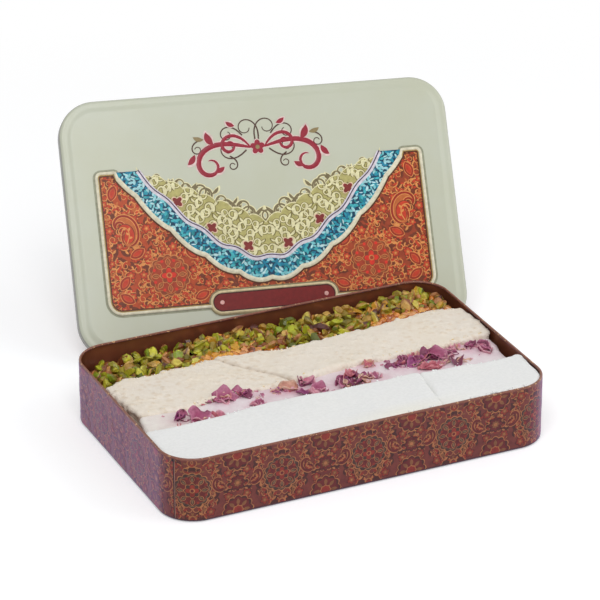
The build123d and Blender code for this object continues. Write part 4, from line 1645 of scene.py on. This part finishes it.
class SWEETSTIN_OT_nougat(bpy.types.Operator):
    """Build the three rows of nougat, the cream and white ones broken in two, with crumbs"""

    bl_idname = "sweetstin.nougat"
    bl_label = "Nougat rows"

    def execute(self, context):
        self.cream_rows()
        self.rose_row()
        self.white_rows()
        return {"FINISHED"}

    def bar_tints(self, points, base, warm, cool, seed):
        """Tints over a bar: the base, warmer where the noise is low, cooler where it is high,
        and warmer still towards the edges and down the sides."""
        swell = grain(points, 24.0, seed)
        tint = blended(base, warm, held(-swell * 0.9))
        tint = blended(tint, cool, held(swell * 0.7))
        upright = 1 - held(surface_normals(points)[..., 2])
        return blended(tint, warm, np.clip(upright * 0.8, 0, 0.8)).reshape(-1, 3)

    def cream_rows(self):
        """Cream nougat: soft and crumbly, with pits and ragged edges."""
        cream = mottled("cream_nougat", (0.95, 0.93, 0.90), 260.0, 0.78, 0.5, 0.001)
        back, front = beside(rear_cut, -CUT_GAP), beside(middle_cut, CUT_GAP)
        end = end_line(-128.0, -121.5, 42.5, -3.0)
        crack = end_line(-46.0, -12.0, 42.5, -3.0)

        def crumbs(place, normal):
            edge = held(1.25 * (1 - normal[..., 2] ** 2))
            pits = -1.8 * held(0.40 - lumps(place, 4.2, 21))
            soft = 0.7 * grain(place, 15.0, 22) + 0.3 * grain(place, 3.4, 25)
            ragged = 1.7 * grain(place, 4.5, 27) + 1.2 * ripple(place, 12.0, 29)
            return soft + pits + edge * (ragged - 0.8)

        bars = (
            ("cream_nougat_left", "cream_row_left", "cream_bar_left", end,
             lambda y: crack(y) - 0.9 + 0.8 * np.sin(0.5 * y), 110, 117, 39.4),
            ("cream_nougat_right", "cream_row_right", "cream_bar_right",
             lambda y: crack(y) + 0.7 + 0.8 * np.sin(0.5 * y), tin_limit, 190, 119, 41.5),
        )
        for name, body, node, left, right, stations, seed, top in bars:
            height = top_slope(38.0, top, 0.8, 9)
            points = bar_points(back, front, left, right, height, 2.2, stations, 56)
            tints = self.bar_tints(
                points, colour("nougat"), ink(238, 227, 210), ink(229, 228, 231), seed
            )
            pits = held(0.46 - lumps(points, 4.2, 21)) * 2.4
            # Painted shade: the pits are tinted darker, more where the broad noise is high
            pit_shade = pits * held(0.6 + grain(points, 30.0, seed + 5))
            tints = blended(tints, ink(224, 205, 180), np.clip(pit_shade.ravel(), 0, 0.5))
            # Painted shade darkens the nougat along the crack between the pieces
            crack_shade = bell(points[..., 0], crack(points[..., 1]), 1.8).ravel()
            tints = blended(tints, ink(196, 180, 162), 0.6 * crack_shade)
            tones = inks((240, 234, 222), (240, 214, 160))
            edges = self.edge_crumbs(back, front, left, right, height, 150, seed, tones)
            finish_piece(
                add_bar(name, points, crumbs, cream, tints, edges), body, "cream_nougat", node
            )

    def edge_crumbs(self, back, front, left, right, height, count, seed, tones):
        """Loose crumbs along a bar's rear and front edges, between two tints: their points,
        faces and tints."""
        luck, more = scattered(count, seed), scattered(count, seed + 3)
        start, end = left(np.zeros(1)) + 4.0, right(np.zeros(1)) - 5.0
        x = start + (end - start) * luck[:, 0]
        rear = luck[:, 1] > 0.45
        y = np.where(rear, back(x) - 0.9 - 1.6 * luck[:, 2], front(x) + 0.9 + 1.4 * luck[:, 2])
        inside = (x > left(y) + 2.5) & (x < right(y) - 2.5)
        x, y, luck, more = kept(inside, x, y, luck, more)
        size = (0.35 + 0.75 * luck[:, 3] ** 2)[:, None] * np.array([1.2, 1.0, 0.8])
        shape, faces, _ = chopped(size, seed + 7, 2, 5, 6)
        placed = turned_about(shape, more[:, 0] * ANY_WAY, more[:, 1] * 3, more[:, 2] * 3)
        placed = set_at(placed, x, y, height(x, y) - 0.1 + 0.3 * more[:, 3])
        tone = blended(*tones, more[:, 4] ** 2)
        tint = np.repeat(tone, placed.shape[1], axis=0)
        return placed.reshape(-1, 3), faces, tint

    def rose_row(self):
        """Rose nougat: cream at its left end, stained pink round the petals."""
        rose = mottled("rose_nougat", (0.92, 0.87, 0.89), 200.0, 0.5, 0.4, 0.001, 0.2)
        points = bar_points(
            beside(middle_cut, -CUT_GAP), beside(front_cut, CUT_GAP),
            end_line(-123.0, -129.0, -3.0, -37.0), end_line(131.0, 129.0, -3.0, -37.0),
            rose_top, 2.6, 250, 46,
        )
        stain = near(points[..., :2], PETAL_SPOTS[:, :2], 11.0)
        pale = held((-72.0 - points[..., 0]) / 26.0)
        tint = blended(colour("rose"), ink(236, 230, 221), pale)
        swell = 0.5 + 0.5 * grain(points, 14.0, 63)
        tint = blended(tint, ink(216, 160, 178), np.clip(stain * swell, 0, 0.7))

        def swells(place, normal):
            edge = held(1.25 * (1 - normal[..., 2] ** 2))
            wet = 0.8 * grain(place, 14.0, 61) - 0.6 * lumps(place, 7.0, 62)
            return wet + 0.4 + edge * 0.6 * grain(place, 5.0, 67)

        bar = add_bar("rose_nougat_bar", points, swells, rose, tint)
        finish_piece(bar, "rose_row", "rose_nougat", "rose_bar")

    def white_rows(self):
        """White nougat: smooth under fine sugar, with soft uneven edges."""
        white = mottled("white_nougat", (0.93, 0.93, 0.93), 500.0, 0.72, 0.3)
        wall = WALL_GAP - millimetres("width") / 2
        back, front = beside(front_cut, -CUT_GAP), (lambda x: wall + 0 * x)
        crack = end_line(61.0, 55.0, -37.0, -85.0)

        def sugar(place, normal):
            edge = held(1.2 * (1 - normal[..., 2] ** 2))
            return 0.45 * grain(place, 22.0, 71) + edge * 0.8 * grain(place, 7.0, 73)

        bars = (
            ("white_nougat_long", "white_row_long", "white_bar_long",
             lambda y: -tin_limit(y), lambda y: crack(y) - 0.15, 190, 217),
            ("white_nougat_short", "white_row_short", "white_bar_short",
             lambda y: crack(y) + 0.15, tin_limit, 90, 219),
        )
        height = top_slope(42.0, 44.0, 0.5, 19)
        for name, body, node, left, right, stations, seed in bars:
            points = bar_points(back, front, left, right, height, 2.6, stations, 56)
            tints = self.bar_tints(
                points, colour("white"), ink(238, 237, 233), ink(230, 233, 237), seed
            )
            x, y, z = points.reshape(-1, 3).T
            # Painted reflection: a warm tint from the rim on the top's front edge
            glow = bell(x, 30.0, 40.0) * held((-70.0 - y) / 16.0)
            glow = 0.45 * glow * held((z - 34.0) / 6.0)
            tints = blended(tints, ink(240, 233, 206), glow)
            tones = inks((240, 240, 238), (240, 240, 238))
            edges = self.edge_crumbs(back, front, left, right, height, 70, seed, tones)
            finish_piece(
                add_bar(name, points, sugar, white, tints, edges), body, "white_nougat", node
            )


# Each kind of petal's tint at its base, darker there as painted shade, and at its rim,
# lighter there as a painted highlight
PETAL_TONES = {
    "plum": ((104, 28, 62), (172, 84, 124)),
    "mauve": ((154, 54, 98), (216, 146, 172)),
    "pink": ((200, 106, 132), (242, 192, 200)),
    "rose": ((176, 64, 90), (232, 152, 156)),
    "peach": ((206, 140, 118), (240, 212, 184)),
    "purple": ((134, 42, 104), (196, 110, 158)),
}
# Clusters of petals on the third row: X, Y, how many petals and how long they are
PETAL_SPOTS = np.array([
    (-98, -18, 2, 12), (-90, -25, 3, 13), (-80, -26, 2, 12), (-64, -2, 2, 14), (-63, -6, 3, 12),
    (-53, -2, 4, 9), (-49, -7, 3, 8), (-47, -24, 4, 8), (-30, -12, 4, 6), (-20, -14, 2, 12),
    (-12, -24, 3, 8), (-6, -7, 4, 11), (-1, -20, 3, 9), (-3, -30, 2, 11), (14, -19, 4, 11),
    (17, -27, 3, 9), (25, -16, 3, 13), (28, -27, 3, 9), (37, -21, 3, 9), (41, -4, 4, 7),
    (57, -13, 4, 8), (65, -10, 5, 9), (71, -15, 6, 9), (79, -9, 4, 12), (87, -12, 3, 12),
    (75, -25, 2, 13), (84, -22, 3, 8), (98, -25, 2, 12), (104, -6, 4, 9), (112, -9, 3, 9),
    (121, -14, 6, 10), (94, -15, 3, 8),
], dtype=float)


class SWEETSTIN_OT_petals(bpy.types.Operator):
    """Scatter dried rose petals over the third row, in clusters"""

    bl_idname = "sweetstin.petals"
    bl_label = "Rose petals"

    def execute(self, context):
        """Whole petals come first, then the bits, spread wider round the same clusters."""
        whole = PETAL_SPOTS[np.repeat(np.arange(len(PETAL_SPOTS)), PETAL_SPOTS[:, 2].astype(int))]
        bits = PETAL_SPOTS[np.arange(150) % len(PETAL_SPOTS)]
        spots = np.concatenate([whole, bits])
        luck, more, last = (scattered(len(spots), seed) for seed in (91, 95, 97))
        small = np.arange(len(spots)) >= len(whole)
        spread = np.where(small, 12.0, 4.4)
        turn = luck[:, 0] * 2 * np.pi
        x = spots[:, 0] + spread * luck[:, 1] * np.cos(turn) * 1.3
        y = spots[:, 1] + spread * luck[:, 1] * np.sin(turn) * 0.8
        y = np.clip(y, front_cut(x) + 2.5, middle_cut(x) - 1.0)
        long = np.where(small, 2.0 + 2.6 * luck[:, 2], spots[:, 3] * (0.85 + 0.5 * luck[:, 2]))
        wide = long * (0.30 + 0.26 * luck[:, 3])
        points, share = self.petal_shapes(long, wide, more)
        lying = np.where(small, 0.6, 1.0)
        points = turned_about(
            points.reshape(len(long), -1, 3), turn + (luck[:, 4] - 0.5) * 1.6,
            (more[:, 3] - 0.6) * 0.5 * lying, (more[:, 4] - 0.5) * 0.7 * lying,
        )
        low, sunk = points[..., 2].min(axis=1), np.where(small, 0.3, 0.9)
        points = set_at(points, x, y, rose_top(x, y) - low - sunk)
        dark, light = (inks(*shown) for shown in zip(*PETAL_TONES.values()))
        chance = np.where(x < -36.0, 0.14 + 0.84 * last[:, 0], last[:, 0])
        pick = np.searchsorted(np.array([0.20, 0.44, 0.68, 0.82, 0.92]), chance)
        # The petals' own tones, blended from the base's painted shade to the rim's painted
        # highlight
        tone_change = held(share.reshape(len(long), -1) + 0.3 * ripple(points, 2.2, 99))
        tint = blended(dark[pick][:, None], light[pick][:, None], tone_change)
        rows, columns = share.shape[1:]
        faces = repeated(grid_faces(rows, columns), len(long), rows * columns)
        material = mottled("dried_rose", (0.70, 0.60, 0.66), 500.0, 0.42, 0.4)
        piece = add_mesh("rose_petal_litter", points, faces, material, tint)
        close_up(piece)
        shell = piece.modifiers.new("thickness", "SOLIDIFY")
        shell.thickness, shell.offset = 0.00025, 0.0
        finish_piece(piece, "rose_row", "dried_rose", "rose_petals")
        return {"FINISHED"}

    def petal_shapes(self, long, wide, luck):
        """Petals of their own length and width, bent along and across as arcs of their own
        angles, with a rim that waves. Also how near each point lies to the rim."""
        rows, columns = 10, 9
        u = np.linspace(0.02, 1, rows)[None, :, None]
        v = np.linspace(-1, 1, columns)[None, None, :]
        long, wide = long[:, None, None], wide[:, None, None]
        half = wide * np.sin(np.pi * u ** 0.75) ** 0.55 + 0.02
        across = (0.5 + 1.3 * luck[:, 0])[:, None, None]
        along = (-0.7 + 2.0 * luck[:, 1])[:, None, None]
        along = np.where(np.abs(along) < 0.1, 0.1, along)
        phase = (luck[:, 2] * ANY_WAY)[:, None, None]
        y = np.sin(across * v) / across * half
        rise = (1 - np.cos(across * v)) / across * half
        bend = along * (u - 0.5)
        x = np.sin(bend) / along * long - np.sin(bend) * rise
        z = (1 - np.cos(bend)) / along * long + np.cos(bend) * rise
        rim = held(np.maximum(np.abs(v), u ** 3) ** 3)
        z = z + 0.09 * long * rim * np.sin(11 * u + 4 * v + phase)
        y = y + 0.05 * long * rim * np.sin(9 * u + phase * 2)
        share = held(0.25 + 0.6 * rim + 0.25 * u - 0.2) + 0 * z
        return points_at(x, y, z), share


class SWEETSTIN_OT_stage(bpy.types.Operator):
    """Set the pale floor, the soft lights and the camera"""

    bl_idname = "sweetstin.stage"
    bl_label = "Stage"

    def execute(self, context):
        scene = context.scene
        scene.view_settings.view_transform = "Standard"
        reach, sunk = 9000.0, -0.2
        corners = [(x * reach, y * reach, sunk) for x, y in ((-1, -1), (1, -1), (1, 1), (-1, 1))]
        add_mesh("floor", corners, np.array([[0, 1, 2, 3]]), self.floor_material())
        self.world(scene)
        self.lamp("key", (-0.55, -1.0, 1.6), 1.1, 15.4)
        self.lamp("fill", (1.2, -0.7, 0.9), 1.2, 6.0)
        self.camera(scene)
        return {"FINISHED"}

    def floor_material(self):
        """Pale floor that keeps the shadow: seen directly or in a reflection it is made up to
        white by a little light of its own, and all of it is white far from the tin."""
        material, tree, shader = new_material("floor")
        feed(tree, shader, Base_Color=(0.86, 0.86, 0.86, 1), Roughness=0.9)
        seen = self.seen(tree)
        share = add_node(tree, "ShaderNodeEmission")
        feed(tree, share, Strength=math_node(tree, "MULTIPLY", seen, 0.30))
        both = add_node(tree, "ShaderNodeAddShader")
        join(tree, both.inputs[0], shader.outputs["BSDF"])
        join(tree, both.inputs[1], share.outputs["Emission"])
        away = add_node(tree, "ShaderNodeVectorMath", operation="LENGTH")
        join(tree, away.inputs[0], add_node(tree, "ShaderNodeTexCoord").outputs["Object"])
        far = spanned(tree, away.outputs["Value"], 0.22, 0.75)
        white = add_node(tree, "ShaderNodeEmission").outputs["Emission"]
        share = math_node(tree, "MULTIPLY", far, seen)
        self.show(tree, "Material Output", share, both.outputs["Shader"], white)
        return material

    def show(self, tree, output, factor, first, second):
        """Shows the first shader where the factor is 0 and the second where it is 1."""
        mix = feed(tree, add_node(tree, "ShaderNodeMixShader"), Fac=factor)
        join(tree, mix.inputs[1], first)
        join(tree, mix.inputs[2], second)
        feed(tree, tree.nodes[output], Surface=mix.outputs["Shader"])

    def seen(self, tree):
        """1 for a camera, glossy or transmission ray, otherwise 0."""
        path = add_node(tree, "ShaderNodeLightPath").outputs
        either = math_node(tree, "MAXIMUM", path["Is Camera Ray"], path["Is Glossy Ray"])
        return math_node(tree, "MAXIMUM", either, path["Is Transmission Ray"])

    def world(self, scene):
        """White for the camera and in reflections, a plain grey light for the rest."""
        world = bpy.data.worlds.new("studio")
        world.use_nodes = True
        tree = world.node_tree
        ground = feed(
            tree, tree.nodes["Background"], Color=(0.95, 0.97, 1.0, 1), Strength=0.55
        ).outputs["Background"]
        white = feed(tree, add_node(tree, "ShaderNodeBackground"), Color=(1, 1, 1, 1))
        white = white.outputs["Background"]
        self.show(tree, "World Output", self.seen(tree), ground, white)
        scene.world = world

    def lamp(self, name, place, size, power):
        """Square soft lamp that faces the tin."""
        data = bpy.data.lights.new(name, "AREA")
        data.shape, data.size, data.energy = "SQUARE", size, power
        self.put(data, self.facing(place), np.array(place))

    def facing(self, back):
        """Right, up and back directions of something that looks the other way."""
        back = np.array(back) / np.linalg.norm(back)
        right = np.cross([0, 0, 1], back)
        right = right / np.linalg.norm(right)
        return np.stack([right, np.cross(back, right), back], axis=-1)

    def put(self, data, turn, place):
        """New object of the lamp or camera, turned and set at its place."""
        item = bpy.data.objects.new(data.name, data)
        bpy.context.scene.collection.objects.link(item)
        item.matrix_world = Matrix(np.block([[turn, place[:, None]], [0, 0, 0, 1]]).tolist())
        return item

    def camera(self, scene):
        """Camera at the photograph's view: long lens, looking down from the front left."""
        across, lift = np.radians(-25.148), np.radians(25.791)
        turn = self.facing((
            np.sin(across) * np.cos(lift), -np.cos(across) * np.cos(lift), np.sin(lift),
        ))
        data = bpy.data.cameras.new("camera")
        data.sensor_width, data.lens, data.clip_end = 36.0, 203.504, 60.0
        scene.camera = self.put(data, turn, turn @ np.array([-0.006305, 0.082855, 2.234141]))


class SWEETSTIN_PT_panel(bpy.types.Panel):
    """Sweets tin's settings and pieces"""

    bl_idname = "SWEETSTIN_PT_panel"
    bl_label = "Sweets Tin"
    bl_space_type = "VIEW_3D"
    bl_region_type = "UI"
    bl_category = PANEL_TAB

    def draw(self, context):
        settings = context.scene.sweets_tin
        for group in (settings.sizes, settings.colours):
            box = self.layout.box()
            for key in group.__annotations__:
                box.prop(group, key)
        for operator in OPERATORS:
            self.layout.operator(operator.bl_idname)


OPERATORS = (
    SWEETSTIN_OT_stage, SWEETSTIN_OT_wall, SWEETSTIN_OT_wall_print, SWEETSTIN_OT_lid,
    SWEETSTIN_OT_lid_print, SWEETSTIN_OT_pistachio, SWEETSTIN_OT_nougat, SWEETSTIN_OT_petals,
)
CLASSES = (
    SweetsTinSizes, SweetsTinColours, SweetsTinSettings, *OPERATORS, SWEETSTIN_PT_panel,
)


def register():
    """Registers the classes and the scene's settings."""
    for item in CLASSES:
        bpy.utils.register_class(item)
    bpy.types.Scene.sweets_tin = bpy.props.PointerProperty(type=SweetsTinSettings)


def unregister():
    """Removes the scene's settings and the classes."""
    del bpy.types.Scene.sweets_tin
    for item in reversed(CLASSES):
        bpy.utils.unregister_class(item)


def main():
    register()
    bpy.ops.sweetstin.stage()
    bpy.ops.sweetstin.wall()
    bpy.ops.sweetstin.wall_print()
    bpy.ops.sweetstin.lid()
    bpy.ops.sweetstin.lid_print()
    bpy.ops.sweetstin.pistachio()
    bpy.ops.sweetstin.nougat()
    bpy.ops.sweetstin.petals()


if __name__ == "__main__":
    main()
